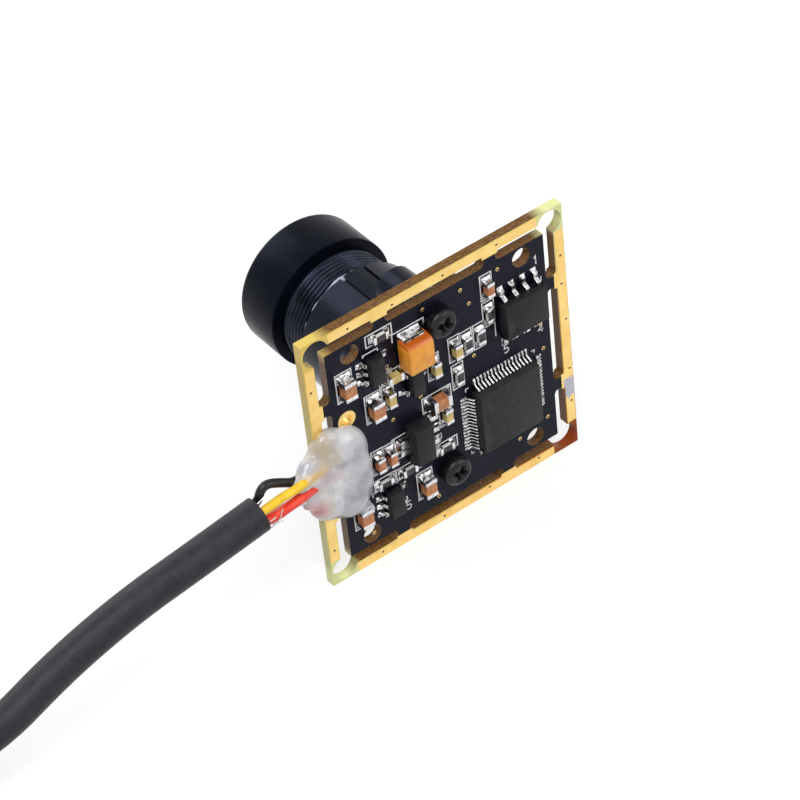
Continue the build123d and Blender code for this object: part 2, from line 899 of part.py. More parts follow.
def build_chip(name, x, z, turn, length, width, height, cap):
    """A ceramic chip with metal end caps that stand a little proud of it."""
    base = seat(x, z, turn, pad_thickness)
    with BuildPart() as chip:
        with BuildSketch(base.offset(chip_step)):
            Rectangle(length - cap, width - 2 * chip_step)
        extrude(amount=height - 2 * chip_step)
        with BuildSketch(base):
            with GridLocations(length - cap, 0, 2, 1):
                Rectangle(cap, width)
        extrude(amount=height)
    ends = [seat(x, z, turn).location * Location((0, 0, 0), (0, 0, side)) for side in (0, 180)]
    half = length / 2
    climb = (half, pad_thickness + chip_solder_climb * height)
    solder_fillet(half - cap, half + solder_reach, climb, width, ends)
    return finish(chip, name)


def build_chips():
    """All ceramic capacitors and resistors, each laid along the board or upright."""
    built = {}
    for kind, chips in (("capacitor", capacitors), ("resistor", resistors)):
        for index, (x, z, turn, size) in enumerate(chips, start=1):
            name = f"{kind}_{index:02d}"
            built[name] = build_chip(name, x, z, turn, *size)
    return built


def build_solder():
    """Every soldered joint on the component face."""
    with BuildPart() as joints:
        with BuildSketch(Plane.XZ):
            for offset in spaced(core_pad_count, core_pad_pitch):
                with Locations((core_pad_x - core_pad_length / 2, core_pad_middle + offset)):
                    Rectangle(core_pad_length, core_pad_width)
        extrude(amount=-pad_thickness)
        add([joint.moved(place) for joint, places in solder_work for place in places])
    return finish(joints, "solder_joints")


def route_radii(points):
    """Each corner's arc: a share of its shorter run, over the tangent of half the turn."""
    radii = []
    for before, corner, after in zip(points, points[1:], points[2:]):
        arriving = Vector(corner) - Vector(before)
        leaving = Vector(after) - Vector(corner)
        turn = arriving.get_angle(leaving)
        shorter = min(arriving.length, leaving.length)
        radii.append(bend_share * shorter / math.tan(math.radians(turn / 2)))
    return radii


def tube(name, points, diameter):
    """A round cord along straight runs joined by tangent arcs."""
    radii = route_radii(points)
    with BuildPart() as cord:
        with BuildLine() as path:
            FilletPolyline(*points, radius=radii)
        start = Plane(origin=points[0], z_dir=Vector(points[1]) - Vector(points[0]))
        with BuildSketch(start):
            Circle(diameter / 2)
        sweep()
    length = path.wires()[0].length
    section = math.pi * diameter**2 / 4
    print(name, "length", round(length, 2), "radii", [round(r, 1) for r in radii])
    print(name, "volume over section times length", round(cord.part.volume / (section * length), 4))
    return cord


def build_cable():
    """The sheathed cable up to its hank, hollow at the cut end where the cores come out."""
    solid_cable = tube("cable", cable_route, cable_diameter)
    start = Plane(origin=cable_route[0], z_dir=Vector(cable_route[1]) - Vector(cable_route[0]))
    with BuildPart() as cable:
        add(solid_cable.part)
        with BuildSketch(start):
            Circle(cable_diameter / 2 - sheath_wall)
        extrude(amount=sheath_recess, mode=Mode.SUBTRACT)
    return finish(cable, "cable")


def build_cores():
    """The four insulated cores between the sheath and the pads."""
    cores = (
        ("black_core", black_route, core_diameter),
        ("yellow_core", yellow_route, core_diameter),
        ("red_core", red_route, red_core_diameter),
        ("white_core", white_route, white_core_diameter),
    )
    parts = []
    for name, route, diameter in cores:
        parts.append(finish(tube(name, route, diameter), name))
    return parts


def build_glue(inside):
    """The clear glue that covers the joints and wraps the board's edge, as a low dome."""
    middle_x, middle_z = glue_middle
    with BuildPart() as glue:
        for level, share, shift in glue_levels:
            ring = []
            for x, z in glue_outline:
                ring_x = middle_x + shift + share * (x - middle_x)
                ring_z = middle_z + share * (z - middle_z)
                ring.append((ring_x, ring_z))
            with BuildSketch(Plane.XZ.offset(-level)):
                with BuildLine():
                    Spline(*ring, periodic=True)
                make_face()
        loft()
        with BuildSketch(Plane.XZ.offset(-pad_thickness)):
            Rectangle(board_side, board_side)
        extrude(amount=pad_thickness + board_thickness, mode=Mode.SUBTRACT)
        add(inside, mode=Mode.SUBTRACT)
    return finish(glue, "cable_glue")


def build_hank():
    """The put-away length: an oval of turns, with the cable's two ends running off it."""
    bend = hank_bend_radius
    left_x = cable_route[-1][0] + hank_lead_in
    right_x = left_x + hank_run
    middle_y = cable_y - cable_diameter - bend
    near_y, far_y = middle_y + bend, middle_y - bend
    middle_z = floor_z + tie_thickness + hank_height / 2
    plug_z = floor_z + plug_height / 2
    leads = (
        (left_x, lead_in_z, hank_lead_in),
        (right_x + hank_lead_out, plug_z, hank_lead_out),
    )
    with BuildPart() as hank:
        with BuildLine():
            Line((left_x, near_y, middle_z), (right_x, near_y, middle_z))
            ThreePointArc(
                (right_x, near_y, middle_z), (right_x + bend, middle_y, middle_z), (right_x, far_y, middle_z)
            )
            Line((right_x, far_y, middle_z), (left_x, far_y, middle_z))
            ThreePointArc(
                (left_x, far_y, middle_z), (left_x - bend, middle_y, middle_z), (left_x, near_y, middle_z)
            )
        with BuildSketch(Plane(origin=(left_x, near_y, middle_z), x_dir=(0, 1, 0), z_dir=(1, 0, 0))):
            RectangleRounded(hank_width, hank_height, hank_corner)
        sweep()
        for x, z, length in leads:
            with BuildSketch(Plane(origin=(x, cable_y, z), x_dir=(0, 1, 0), z_dir=(-1, 0, 0))):
                Circle(cable_diameter / 2)
            extrude(amount=length)
    finish(hank, "cable_hank")

    wrap = Plane(
        origin=((left_x + right_x) / 2, far_y, middle_z), x_dir=(0, 1, 0), z_dir=(1, 0, 0)
    )
    with BuildPart() as tie:
        with BuildSketch(wrap):
            RectangleRounded(
                hank_width + 2 * tie_thickness, hank_height + 2 * tie_thickness, hank_corner + tie_thickness
            )
        extrude(amount=tie_width / 2, both=True)
        add(hank.part, mode=Mode.SUBTRACT)
    finish(tie, "cable_tie")
    return right_x + hank_lead_out, plug_z


def build_plug(start_x, plug_z):
    """The plug on the far end: grip, steel shell, and a tongue that carries four contacts."""
    grip_x = start_x + plug_relief_length
    shell_x = grip_x + plug_length
    front_x = shell_x + shell_length

    def across(x):
        return Plane(origin=(x, cable_y, plug_z), x_dir=(0, 1, 0), z_dir=(1, 0, 0))

    with BuildPart() as grip:
        with BuildSketch(across(grip_x)):
            RectangleRounded(plug_width, plug_height, plug_corner)
        extrude(amount=plug_length)
        chamfer(grip.faces().sort_by(Axis.X)[-1].edges(), length=plug_front_bevel)
        chamfer(grip.faces().sort_by(Axis.X)[0].edges(), length=plug_rear_bevel)
        with BuildSketch(across(start_x)):
            Circle(cable_diameter / 2 + plug_relief_wall)
        with BuildSketch(across(grip_x)):
            Circle(plug_relief_radius)
        loft()
        for side in (-1, 1):
            for offset in spaced(grip_groove_count, grip_groove_pitch):
                groove = Plane(
                    origin=(grip_x + grip_groove_middle + offset, cable_y, plug_z + side * plug_height / 2),
                    x_dir=(1, 0, 0),
                    z_dir=(0, 0, side),
                )
                with BuildSketch(groove):
                    Rectangle(grip_groove_width, grip_groove_length)
                extrude(amount=-grip_groove_depth, mode=Mode.SUBTRACT)
        with BuildSketch(across(shell_x)):
            Rectangle(shell_width, shell_height)
        extrude(amount=-shell_sunk, mode=Mode.SUBTRACT)
    finish(grip, "plug_grip")

    with BuildPart() as shell:
        with BuildSketch(across(shell_x - shell_sunk)):
            Rectangle(shell_width, shell_height)
            Rectangle(shell_width - 2 * shell_wall, shell_height - 2 * shell_wall, mode=Mode.SUBTRACT)
        extrude(amount=shell_sunk + shell_length)
        for side in (-1, 1):
            window = Plane(
                origin=(front_x - window_setback, cable_y, plug_z + side * shell_height / 2),
                x_dir=(1, 0, 0),
                z_dir=(0, 0, side),
            )
            with BuildSketch(window):
                with GridLocations(0, window_pitch, 1, 2):
                    Rectangle(window_length, window_width)
            extrude(amount=-shell_wall, mode=Mode.SUBTRACT)
    finish(shell, "plug_shell")

    tongue_top = shell_height / 2 - shell_wall
    with BuildPart() as tongue:
        with BuildSketch(across(shell_x - shell_sunk)):
            with Locations((0, tongue_top - tongue_thickness / 2)):
                Rectangle(shell_width - 2 * shell_wall, tongue_thickness)
        extrude(amount=shell_sunk + shell_length - tongue_setback)
        with BuildSketch(across(shell_x)):
            for offset in spaced(contact_count, contact_pitch):
                with Locations((offset, tongue_top - tongue_thickness - contact_thickness / 2)):
                    Rectangle(contact_width, contact_thickness)
        extrude(amount=shell_length - tongue_setback - contact_setback)
    finish(tongue, "plug_tongue")


build_board()
build_rails()
build_eyelet()
build_holder()
build_barrel()
build_ring()
build_glass()
build_lock_glue()
build_screws()
build_sensor()
build_processor()
build_memory()
build_small_packages()
build_power_regulator()
build_tantalum()
chips = build_chips()
solder = build_solder()
cores = build_cores()
glued = [joint for joint in solder.solids() if joint.center().X > glued_from_x]
build_glue(cores + glued + [chips["capacitor_03"]])
build_cable()
plug_start, plug_middle = build_hank()
build_plug(plug_start, plug_middle)
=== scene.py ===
# Looks of the bare camera module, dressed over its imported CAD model. Metres, in the CAD model's frame.
import math
import random

import bmesh
import bpy
from mathutils import Matrix, Vector, noise


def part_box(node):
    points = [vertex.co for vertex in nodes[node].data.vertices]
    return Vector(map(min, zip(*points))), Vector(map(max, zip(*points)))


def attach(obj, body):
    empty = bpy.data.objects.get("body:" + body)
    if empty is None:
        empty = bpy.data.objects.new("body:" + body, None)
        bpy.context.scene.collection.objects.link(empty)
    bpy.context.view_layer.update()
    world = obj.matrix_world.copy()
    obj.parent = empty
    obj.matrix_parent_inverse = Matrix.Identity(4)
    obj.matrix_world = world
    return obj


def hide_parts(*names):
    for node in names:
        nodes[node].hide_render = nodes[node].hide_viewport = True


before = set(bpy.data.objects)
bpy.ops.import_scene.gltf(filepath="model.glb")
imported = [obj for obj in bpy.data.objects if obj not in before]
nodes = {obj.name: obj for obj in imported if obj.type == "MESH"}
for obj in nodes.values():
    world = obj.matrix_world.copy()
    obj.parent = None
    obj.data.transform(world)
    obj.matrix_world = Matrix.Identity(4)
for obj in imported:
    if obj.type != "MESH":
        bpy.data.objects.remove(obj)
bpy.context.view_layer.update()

scene = bpy.context.scene
random.seed(7)

MM = 0.001
FLOOR_Z = -14.5 * MM

# Lens: its axis and the depths behind the component face, in millimetres as in the CAD model
LENS_X, LENS_Z = 0.15, 0.45
BARREL_RADIUS = 5.95
HEAD_RADIUS = 6.85
HEAD_REAR, HEAD_FRONT = 17.2, 22.6
HOLDER_DEPTH = 13.0
THREAD_PITCH = 0.5
THREAD_HEIGHT = 0.28
LOCK_GLUE_START, LOCK_GLUE_ARC = -15, 115

# Cable: the CAD model's route, then the turns of its hank and the lead to its plug
CABLE_DIAMETER = 3.4
CABLE_ROUTE = [
    (21.8, 1.4, 0.6),
    (28.8, 1.5, -0.3),
    (36.0, 1.4, -1.35),
    (43.5, 1.2, -3.7),
    (50.5, 1.4, -6.65),
    (57.5, 1.4, -6.65),
]
HANK_START_X, HANK_RUN, HANK_BEND = 68.0, 25.0, 10.2
HANK_MIDDLE_Z = -9.5
HANK_TURNS = 7
RUN_STEPS, BEND_STEPS = 3, 9
CHANGE_STEPS = 3
PLUG_LEAD = [(97.0, 1.4, -12.2), (100.5, 1.4, -11.0), (106.0, 1.4, -10.5)]

# Cores: the CAD model's diameters and routes, the black one eased where it enters the glue
CORES = {
    "black_core": (0.85, [
        (22.65, 0.85, 0.95), (21.4, 0.85, 1.4), (21.0, 0.9, 2.6), (20.2, 0.9, 2.9), (18.9, 0.9, 2.15),
        (17.4, 0.8, 1.1), (16.0, 0.7, 1.5), (14.6, 0.5, 2.4), (12.4, 0.5, 2.6),
    ]),
    "yellow_core": (0.85, [
        (22.65, 1.95, 1.0), (20.0, 2.15, 1.75), (17.6, 1.95, 1.5), (15.9, 1.1, 1.0), (14.6, 0.55, 0.95),
        (12.4, 0.5, 0.9),
    ]),
    "red_core": (1.0, [
        (22.5, 1.76, 0.04), (20.9, 1.95, -0.2), (19.3, 2.1, 0.2), (17.4, 1.75, 0.0),
        (14.9, 0.65, -0.75), (12.4, 0.6, -0.8),
    ]),
    "white_core": (0.62, [
        (22.65, 0.8, -0.1), (20.0, 0.9, -0.3), (17.2, 0.85, -1.5), (14.9, 0.45, -2.4),
        (12.4, 0.4, -2.5),
    ]),
}


# Materials

NOISE_ROUGHNESS = 0.55


def linear(red, green, blue):
    """A written 0 to 255 colour as the linear values that sockets take."""
    values = []
    for written in (red, green, blue):
        share = written / 255
        values.append(share / 12.92 if share <= 0.04045 else ((share + 0.055) / 1.055) ** 2.4)
    return (*values, 1.0)


class Surface:
    """A principled material whose colour and relief are built from nodes."""

    def __init__(self, name, roughness=0.5, metallic=0.0, specular=0.5, **sockets):
        self.material = bpy.data.materials.new(name)
        self.material.use_nodes = True
        self.tree = self.material.node_tree
        self.shader = self.tree.nodes["Principled BSDF"]
        self.shader.inputs["Roughness"].default_value = roughness
        self.shader.inputs["Metallic"].default_value = metallic
        self.shader.inputs["Specular IOR Level"].default_value = specular
        for key, value in sockets.items():
            self.shader.inputs[key.replace("_", " ")].default_value = value
        self.place = self.add("TexCoord").outputs["Object"]

    def add(self, kind):
        return self.tree.nodes.new("ShaderNode" + kind)

    def link(self, output, socket):
        self.tree.links.new(output, socket)

    def math(self, operation, first, second=0.0, third=None):
        """A math node's result. Each value is a number or another node's output."""
        node = self.add("Math")
        node.operation = operation
        for socket, value in zip(node.inputs, (first, second, third)):
            if value is None:
                continue
            if isinstance(value, (int, float)):
                socket.default_value = value
            else:
                self.link(value, socket)
        return node.outputs[0]

    def parts(self):
        """The place's X, Y and Z, in metres."""
        node = self.add("SeparateXYZ")
        self.link(self.place, node.inputs[0])
        return node.outputs

    def noise(self, size, detail=3.0, stretch=(1, 1, 1)):
        """Noise whose features are about size millimetres across."""
        scaled = self.add("Mapping")
        scaled.inputs["Scale"].default_value = stretch
        self.link(self.place, scaled.inputs["Vector"])
        node = self.add("TexNoise")
        node.inputs["Scale"].default_value = 1 / (size * MM)
        node.inputs["Detail"].default_value = detail
        node.inputs["Roughness"].default_value = NOISE_ROUGHNESS
        self.link(scaled.outputs[0], node.inputs["Vector"])
        return node.outputs["Fac"]

    def ramp(self, factor, *stops):
        """Colours blended along a factor. Each stop is a position and a written colour."""
        node = self.add("ValToRGB")
        elements = node.color_ramp.elements
        while len(elements) < len(stops):
            elements.new(0.5)
        for element, (position, colour) in zip(elements, stops):
            element.position = position
            element.color = linear(*colour)
        self.link(factor, node.inputs[0])
        return node.outputs[0]

    def mix(self, factor, first, second):
        """The first colour at a factor of 0, the second at 1."""
        node = self.add("Mix")
        node.data_type = "RGBA"
        colours = [socket for socket in node.inputs if socket.type == "RGBA"]
        for socket, value in zip(colours, (first, second)):
            if isinstance(value, tuple):
                socket.default_value = linear(*value)
            else:
                self.link(value, socket)
        self.link(factor, node.inputs[0])
        return node.outputs[2]

    def colour(self, output):
        self.link(output, self.shader.inputs["Base Color"])

    def mottle(self, size, dark, light):
        """Base colour that wanders between two written colours."""
        self.colour(self.ramp(self.noise(size), (0.35, dark), (0.65, light)))

    def relief(self, height, strength, depth):
        """Bump from a height, depth millimetres deep, over whatever bump is there already."""
        node = self.add("Bump")
        node.inputs["Strength"].default_value = strength
        node.inputs["Distance"].default_value = depth * MM
        self.link(height, node.inputs["Height"])
        normal = self.shader.inputs["Normal"]
        if normal.links:
            self.link(normal.links[0].from_socket, node.inputs["Normal"])
        self.link(node.outputs[0], normal)

    def vary_roughness(self, size, low, high):
        """Roughness that wanders between two values."""
        node = self.add("MapRange")
        node.inputs["From Min"].default_value = 0.3
        node.inputs["From Max"].default_value = 0.7
        node.inputs["To Min"].default_value = low
        node.inputs["To Max"].default_value = high
        self.link(self.noise(size), node.inputs["Value"])
        self.link(node.outputs[0], self.shader.inputs["Roughness"])


# Board, from its middle: bare laminate starts at the corners and rails. The cut walls are painted lighter
# towards the corners, and on the cable's side, as painted light. LAMINATE's colours run over a span of X
# plus Z.
BARE_CORNER, BARE_RAIL, CABLE_SIDE = 12.2, 13.3, 14.3
PAINTED_LIGHT_START, PAINTED_LIGHT_WIDTH, CABLE_SIDE_PAINTED_LIGHT = 11.2, 1.6, 0.7
LAMINATE_SPAN = 54
LAMINATE = [(0.0, (140, 62, 8)), (0.12, (196, 132, 52)), (0.45, (226, 230, 168))]
LAMINATE += [(0.7, (226, 224, 150)), (1.0, (224, 196, 104))]


def board_surface():
    """Dark mask on the faces, bare laminate at the corners and layered laminate on the cut walls, with
    painted light on the walls towards the corners and on the cable's side.
    """
    made = Surface("board_mask", roughness=0.3, specular=0.16)
    x, _, z = made.parts()
    normal = made.add("SeparateXYZ")
    geometry = made.add("NewGeometry")
    made.link(geometry.outputs["True Normal"], normal.inputs[0])
    wall = made.math("LESS_THAN", made.math("ABSOLUTE", normal.outputs[1]), 0.5)
    inset = made.math("MINIMUM", made.math("ABSOLUTE", x), made.math("ABSOLUTE", z))
    outset = made.math("MAXIMUM", made.math("ABSOLUTE", x), made.math("ABSOLUTE", z))
    corner = made.math("GREATER_THAN", inset, BARE_CORNER * MM)
    rail = made.math("GREATER_THAN", outset, BARE_RAIL * MM)
    bare = made.math("MAXIMUM", corner, rail)
    across = made.math("MULTIPLY_ADD", made.math("ADD", x, z), 1 / (LAMINATE_SPAN * MM), 0.5)
    laminate = made.ramp(across, *LAMINATE)
    mask = made.ramp(made.noise(2.5, 4), (0.3, (13, 13, 23)), (0.7, (20, 20, 33)))
    layers = made.noise(0.35, 4, stretch=(1, 6, 1))
    cut = made.ramp(layers, (0.3, (66, 42, 20)), (0.52, (112, 78, 40)), (0.72, (160, 126, 72)))
    # Painted light: the cut walls turn to the lighter laminate towards the corners and on the cable's side
    glow = made.math("MULTIPLY_ADD", inset, 1 / (PAINTED_LIGHT_WIDTH * MM), -PAINTED_LIGHT_START / PAINTED_LIGHT_WIDTH)
    cable_side = made.math("MULTIPLY", made.math("GREATER_THAN", x, CABLE_SIDE * MM), CABLE_SIDE_PAINTED_LIGHT)
    sides = made.mix(made.math("MAXIMUM", glow, cable_side), cut, laminate)
    faces = made.mix(bare, mask, laminate)
    made.colour(made.mix(wall, faces, sides))
    made.relief(made.noise(0.28, 2), 0.25, 0.01)
    made.relief(layers, 0.2, 0.02)
    return made


# Worn place on the rail away from the cable: its middle, half its length, and how ragged it is
SCUFF_Z, SCUFF_HALF, SCUFF_RAGGED = -7.3, 0.35, 1.6


def gold_surface():
    """Mottled gold, rubbed to bare metal at one place of a rail."""
    made = Surface("gold_plating", roughness=0.34, metallic=1.0)
    x, _, z = made.parts()
    plate = made.ramp(made.noise(1.6, 4), (0.3, (238, 198, 116)), (0.7, (250, 216, 140)))
    near_edge = made.math("LESS_THAN", x, -BARE_RAIL * MM)
    level = made.math("ABSOLUTE", made.math("ADD", z, -SCUFF_Z * MM))
    ragged = made.math("MULTIPLY_ADD", made.noise(0.5), SCUFF_RAGGED * MM, SCUFF_HALF * MM)
    scuff = made.math("MULTIPLY", near_edge, made.math("LESS_THAN", level, ragged))
    made.colour(made.mix(scuff, plate, (178, 178, 186)))
    made.vary_roughness(1.2, 0.26, 0.36)
    made.relief(made.noise(0.35, 3), 0.25, 0.006)
    return made


def ring_height(made, pitch):
    """Fine turning marks: a wave of the distance from the lens axis and along it."""
    x, y, z = made.parts()
    across = made.math("SUBTRACT", x, LENS_X * MM)
    up = made.math("SUBTRACT", z, LENS_Z * MM)
    squared = made.math("ADD", made.math("MULTIPLY", across, across), made.math("MULTIPLY", up, up))
    reach = made.math("ADD", made.math("SQRT", squared), y)
    return made.math("SINE", made.math("MULTIPLY", reach, 2 * math.pi / (pitch * MM)))


def plain(name, dark, light, size=0.8, grain=0.12, depth=0.01, strength=0.35, **more):
    """Mottled colour with a fine grain in relief."""
    made = Surface(name, **more)
    made.mottle(size, dark, light)
    made.relief(made.noise(grain, 3), strength, depth)
    return made


# The capacitor's dark band: its blend's width, and its start in such widths from the origin
BAND_BLEND, BAND_START, BAND_RAGGED = 0.35, 26.6, 0.5


def tantalum_surface():
    """Orange resin with a darker band at its upper end."""
    made = Surface("tantalum_case", roughness=0.32)
    _, _, z = made.parts()
    resin = made.ramp(made.noise(0.9, 4), (0.3, (226, 136, 28)), (0.7, (246, 172, 58)))
    rise = made.math("MULTIPLY_ADD", z, 1 / (BAND_BLEND * MM), -BAND_START)
    ragged = made.math("MULTIPLY_ADD", made.noise(0.5), BAND_RAGGED, rise)
    band = made.math("MINIMUM", made.math("MAXIMUM", ragged, 0.0), 1.0)
    made.colour(made.mix(band, resin, (190, 92, 20)))
    made.relief(made.noise(0.12, 3), 0.35, 0.012)
    return made


# Mottled surfaces: two colours, and what departs from the defaults of plain()
PLAIN_SURFACES = {
    "holder_moulding": ((7, 9, 14), (12, 14, 21), dict(grain=0.2, roughness=0.22, specular=0.28)),
    "lens_black": ((7, 9, 16), (12, 15, 25), dict(size=3.0, strength=0.2, roughness=0.28, specular=0.1)),
    "lens_thread": ((9, 10, 14), (24, 26, 32), dict(size=1.6, roughness=0.2, specular=0.5)),
    "sensor_ceramic": ((56, 54, 58), (74, 72, 76), dict(roughness=0.6)),
    "chip_plastic": ((17, 17, 20), (26, 26, 29), dict(grain=0.06, roughness=0.5, specular=0.25)),
    "processor_plastic": ((33, 31, 31), (44, 42, 41), dict(grain=0.06, roughness=0.55, specular=0.25)),
    "lead_metal": ((150, 148, 147), (234, 234, 236), dict(size=0.4, roughness=0.2, metallic=1.0)),
    "terminal_metal": ((46, 40, 34), (240, 240, 240), dict(size=0.42, roughness=0.16, metallic=1.0)),
    "solder": (
        (94, 87, 82), (242, 243, 246),
        dict(size=0.34, grain=0.25, depth=0.03, strength=0.5, roughness=0.14, metallic=1.0),
    ),
    "ceramic_brown": ((168, 102, 60), (206, 140, 92), dict(size=0.5, roughness=0.32)),
    "ceramic_tan": ((196, 168, 100), (220, 196, 132), dict(size=0.5, roughness=0.35)),
    "resistor_black": ((22, 22, 25), (34, 34, 38), dict(size=0.4, roughness=0.28)),
    "resistor_white": ((206, 204, 198), (232, 230, 224), dict(size=0.5, roughness=0.4)),
    "cap_metal": (
        (204, 205, 208), (240, 240, 242),
        dict(size=0.3, grain=0.1, depth=0.02, strength=0.5, roughness=0.22, metallic=1.0),
    ),
    "black_steel": ((8, 8, 11), (20, 20, 24), dict(size=0.6, roughness=0.3, specular=0.3)),
    "core_black": ((13, 13, 15), (22, 22, 25), dict(roughness=0.35, specular=0.35)),
    "core_yellow": ((236, 184, 18), (250, 206, 40), dict(roughness=0.35)),
    "core_red": ((226, 46, 26), (244, 74, 42), dict(roughness=0.35)),
    "core_white": ((222, 222, 220), (240, 240, 238), dict(roughness=0.4)),
    "cable_sheath": (
        (27, 27, 33), (38, 38, 46),
        dict(size=1.2, grain=0.16, depth=0.02, strength=0.4, roughness=0.5, specular=0.3),
    ),
    "tie_black": ((22, 22, 24), (34, 34, 36), dict(roughness=0.4)),
    "plug_black": (
        (24, 24, 26), (34, 34, 37),
        dict(size=1.0, grain=0.14, depth=0.02, roughness=0.48, specular=0.35),
    ),
    "plug_steel": (
        (150, 153, 158), (172, 175, 180),
        dict(size=4.0, grain=0.6, depth=0.004, strength=0.2, roughness=0.24, metallic=1.0),
    ),
    "tongue_white": ((226, 226, 222), (240, 240, 238), dict(roughness=0.45)),
    "silk_ink": ((206, 208, 210), (234, 235, 236), dict(size=0.3, grain=0.1, roughness=0.55)),
    # Painted shade: the dark inside of a via's hole, worn by its flat dish
    "via_hole_shade": ((40, 28, 14), (66, 46, 22), dict(size=0.2, roughness=0.5)),
    "strand_metal": ((198, 198, 200), (226, 226, 228), dict(size=0.3, roughness=0.25, metallic=1.0)),
}
surfaces = {name: plain(name, dark, light, **more) for name, (dark, light, more) in PLAIN_SURFACES.items()}
surfaces["board_mask"] = board_surface()
surfaces["gold_plating"] = gold_surface()
surfaces["tantalum_case"] = tantalum_surface()
TURNING_PITCH = 0.14
BLUE_SHEEN = linear(150, 168, 214)
turning = surfaces["lens_black"]
turning.relief(ring_height(turning, TURNING_PITCH), 0.25, 0.006)
for name in ("lens_black", "holder_moulding", "lens_thread", "board_mask"):
    surfaces[name].shader.inputs["Specular Tint"].default_value = BLUE_SHEEN


def glass_surface(name, tint, weight=1.0, **more):
    """Glass with a faintly mottled tint. The weight is the share of light it lets through."""
    surfaces[name] = Surface(name, Transmission_Weight=weight, **more)
    surfaces[name].mottle(3.0, tint, tuple(min(255, part + 6) for part in tint))


CLEAR = dict(roughness=0.0, specular=0.16)
LENS_SHEEN = linear(130, 150, 235)
glass_surface("lens_glass", (226, 236, 240), IOR=1.6, Specular_Tint=LENS_SHEEN, **CLEAR)
glass_surface("filter_glass", (150, 214, 214), IOR=1.5, **CLEAR)
glass_surface("lock_glue", (196, 206, 224), 0.3, IOR=1.45, roughness=0.16)


GLUE_MILK = [(0.3, (196, 199, 212)), (0.5, (230, 232, 239)), (0.68, (250, 250, 252))]
# Middle and reach along X and Z, strength and colour of each colour painted into the glue: painted light
# for the gold rail and the yellow core seen through it, then a pink tint at its lower lip
GLUE_TINTS_AND_SHOW_THROUGH = [
    ((14.2, 1.9), (3.2, 3.4), 0.9, (232, 206, 160)),
    ((15.9, 2.3), (1.25, 0.8), 0.95, (252, 208, 96)),
    ((16.2, 1.9), (-3.4, 1.9), 1.4, (236, 140, 150)),
]


def glue_surface():
    """Milky glue: amber over the gold rail and yellow along a core, painted light for what is seen through
    it, and pink at its lower lip.
    """
    made = Surface(
        "clear_glue", roughness=0.2, IOR=1.42,
        Transmission_Weight=0.42, Coat_Weight=0.5, Coat_Roughness=0.06,
    )
    x, _, z = made.parts()

    def near(value, middle, reach):
        gap = made.math("ABSOLUTE", made.math("SUBTRACT", value, middle * MM))
        return made.math("MAXIMUM", made.math("MULTIPLY_ADD", gap, -1 / (reach * MM), 1.0), 0.0)

    milk = made.ramp(made.noise(2.4, 4), *GLUE_MILK)
    # Painted light: the rail and the core as seen through the glue, mixed into its colour; the pink is a
    # plain tint
    for along_x, along_z, strength, tint in GLUE_TINTS_AND_SHOW_THROUGH:
        share = made.math("MULTIPLY", near(x, *along_x), near(z, *along_z))
        milk = made.mix(made.math("MULTIPLY", share, strength), milk, tint)
    made.colour(milk)
    made.relief(made.noise(1.6, 4, stretch=(1, 1, 0.4)), 0.4, 0.14)
    return made


surfaces["clear_glue"] = glue_surface()


def wear(piece, *names):
    """Give a piece its materials, in the order of its face groups."""
    if piece.data.materials:
        piece.data.materials.clear()
    for name in names:
        piece.data.materials.append(surfaces[name].material)


# Pieces

WELD_DISTANCE = 1e-6
FLAT_ANGLE, SHARP_ANGLE, BEVEL_SEGMENTS = 1, 25, 2


def bridge(mesh, first, second, closed=True, inverted=False):
    """Quads between two rows of vertices."""
    faces = []
    for index in range(len(first) if closed else len(first) - 1):
        after = (index + 1) % len(first)
        corners = [first[index], first[after], second[after], second[index]]
        if inverted:
            corners = [first[index], second[index], second[after], first[after]]
        faces.append(mesh.faces.new(corners))
    return faces


def new_piece(name, mesh, *materials, slot=None, replaces=(), smooth=30):
    """A mesh as an object that rides on the part, shaded smooth across shallow edges."""
    if isinstance(mesh, bmesh.types.BMesh):
        data = bpy.data.meshes.new(name)
        mesh.to_mesh(data)
        mesh.free()
    else:
        data = mesh
    piece = bpy.data.objects.new(name, data)
    scene.collection.objects.link(piece)
    if isinstance(data, bpy.types.Mesh):
        data.shade_smooth()
        data.set_sharp_from_angle(angle=math.radians(smooth))
    wear(piece, *materials)
    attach(piece, "root")
    if replaces:
        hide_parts(*replaces)
    return piece


def softened(node, width, materials, slot, choose=None, smooth=50, reshape=None):
    """A copy of a CAD node with its edges rounded, and its faces sorted into materials."""
    mesh = bmesh.new()
    mesh.from_mesh(nodes[node].data)
    bmesh.ops.remove_doubles(mesh, verts=mesh.verts, dist=WELD_DISTANCE)
    bmesh.ops.dissolve_limit(
        mesh, angle_limit=math.radians(FLAT_ANGLE), verts=mesh.verts, edges=mesh.edges
    )
    if reshape:
        for vertex in mesh.verts:
            vertex.co = reshape(vertex.co / MM) * MM
    if choose:
        for face in mesh.faces:
            face.material_index = choose(face.calc_center_median() / MM, face.normal)
    shared = [edge for edge in mesh.edges if len(edge.link_faces) == 2]
    sharp = [edge for edge in shared if edge.calc_face_angle() > math.radians(SHARP_ANGLE)]
    bmesh.ops.bevel(
        mesh, geom=sharp, offset=width * MM, segments=BEVEL_SEGMENTS,
        affect="EDGES", profile=0.5, clamp_overlap=True, material=-1,
    )
    return new_piece(node + "_finish", mesh, *materials, slot=slot, replaces=(node,), smooth=smooth)


def turned(name, rows, steps, materials, slot, replaces, around):
    """A closed turned shape about the lens axis. Rows are (radius, depth), around gives the radius."""
    mesh = bmesh.new()
    rings = []
    for row in rows:
        ring = []
        for step in range(steps):
            angle = 2 * math.pi * step / steps
            radius = around(angle, row)
            point = (LENS_X + radius * math.cos(angle), -row[1], LENS_Z + radius * math.sin(angle))
            ring.append(mesh.verts.new(Vector(point) * MM))
        rings.append(ring)
    for first, second in zip(rings, rings[1:] + rings[:1]):
        bridge(mesh, first, second)
    bmesh.ops.recalc_face_normals(mesh, faces=mesh.faces)
    return new_piece(name, mesh, *materials, slot=slot, replaces=replaces, smooth=35)


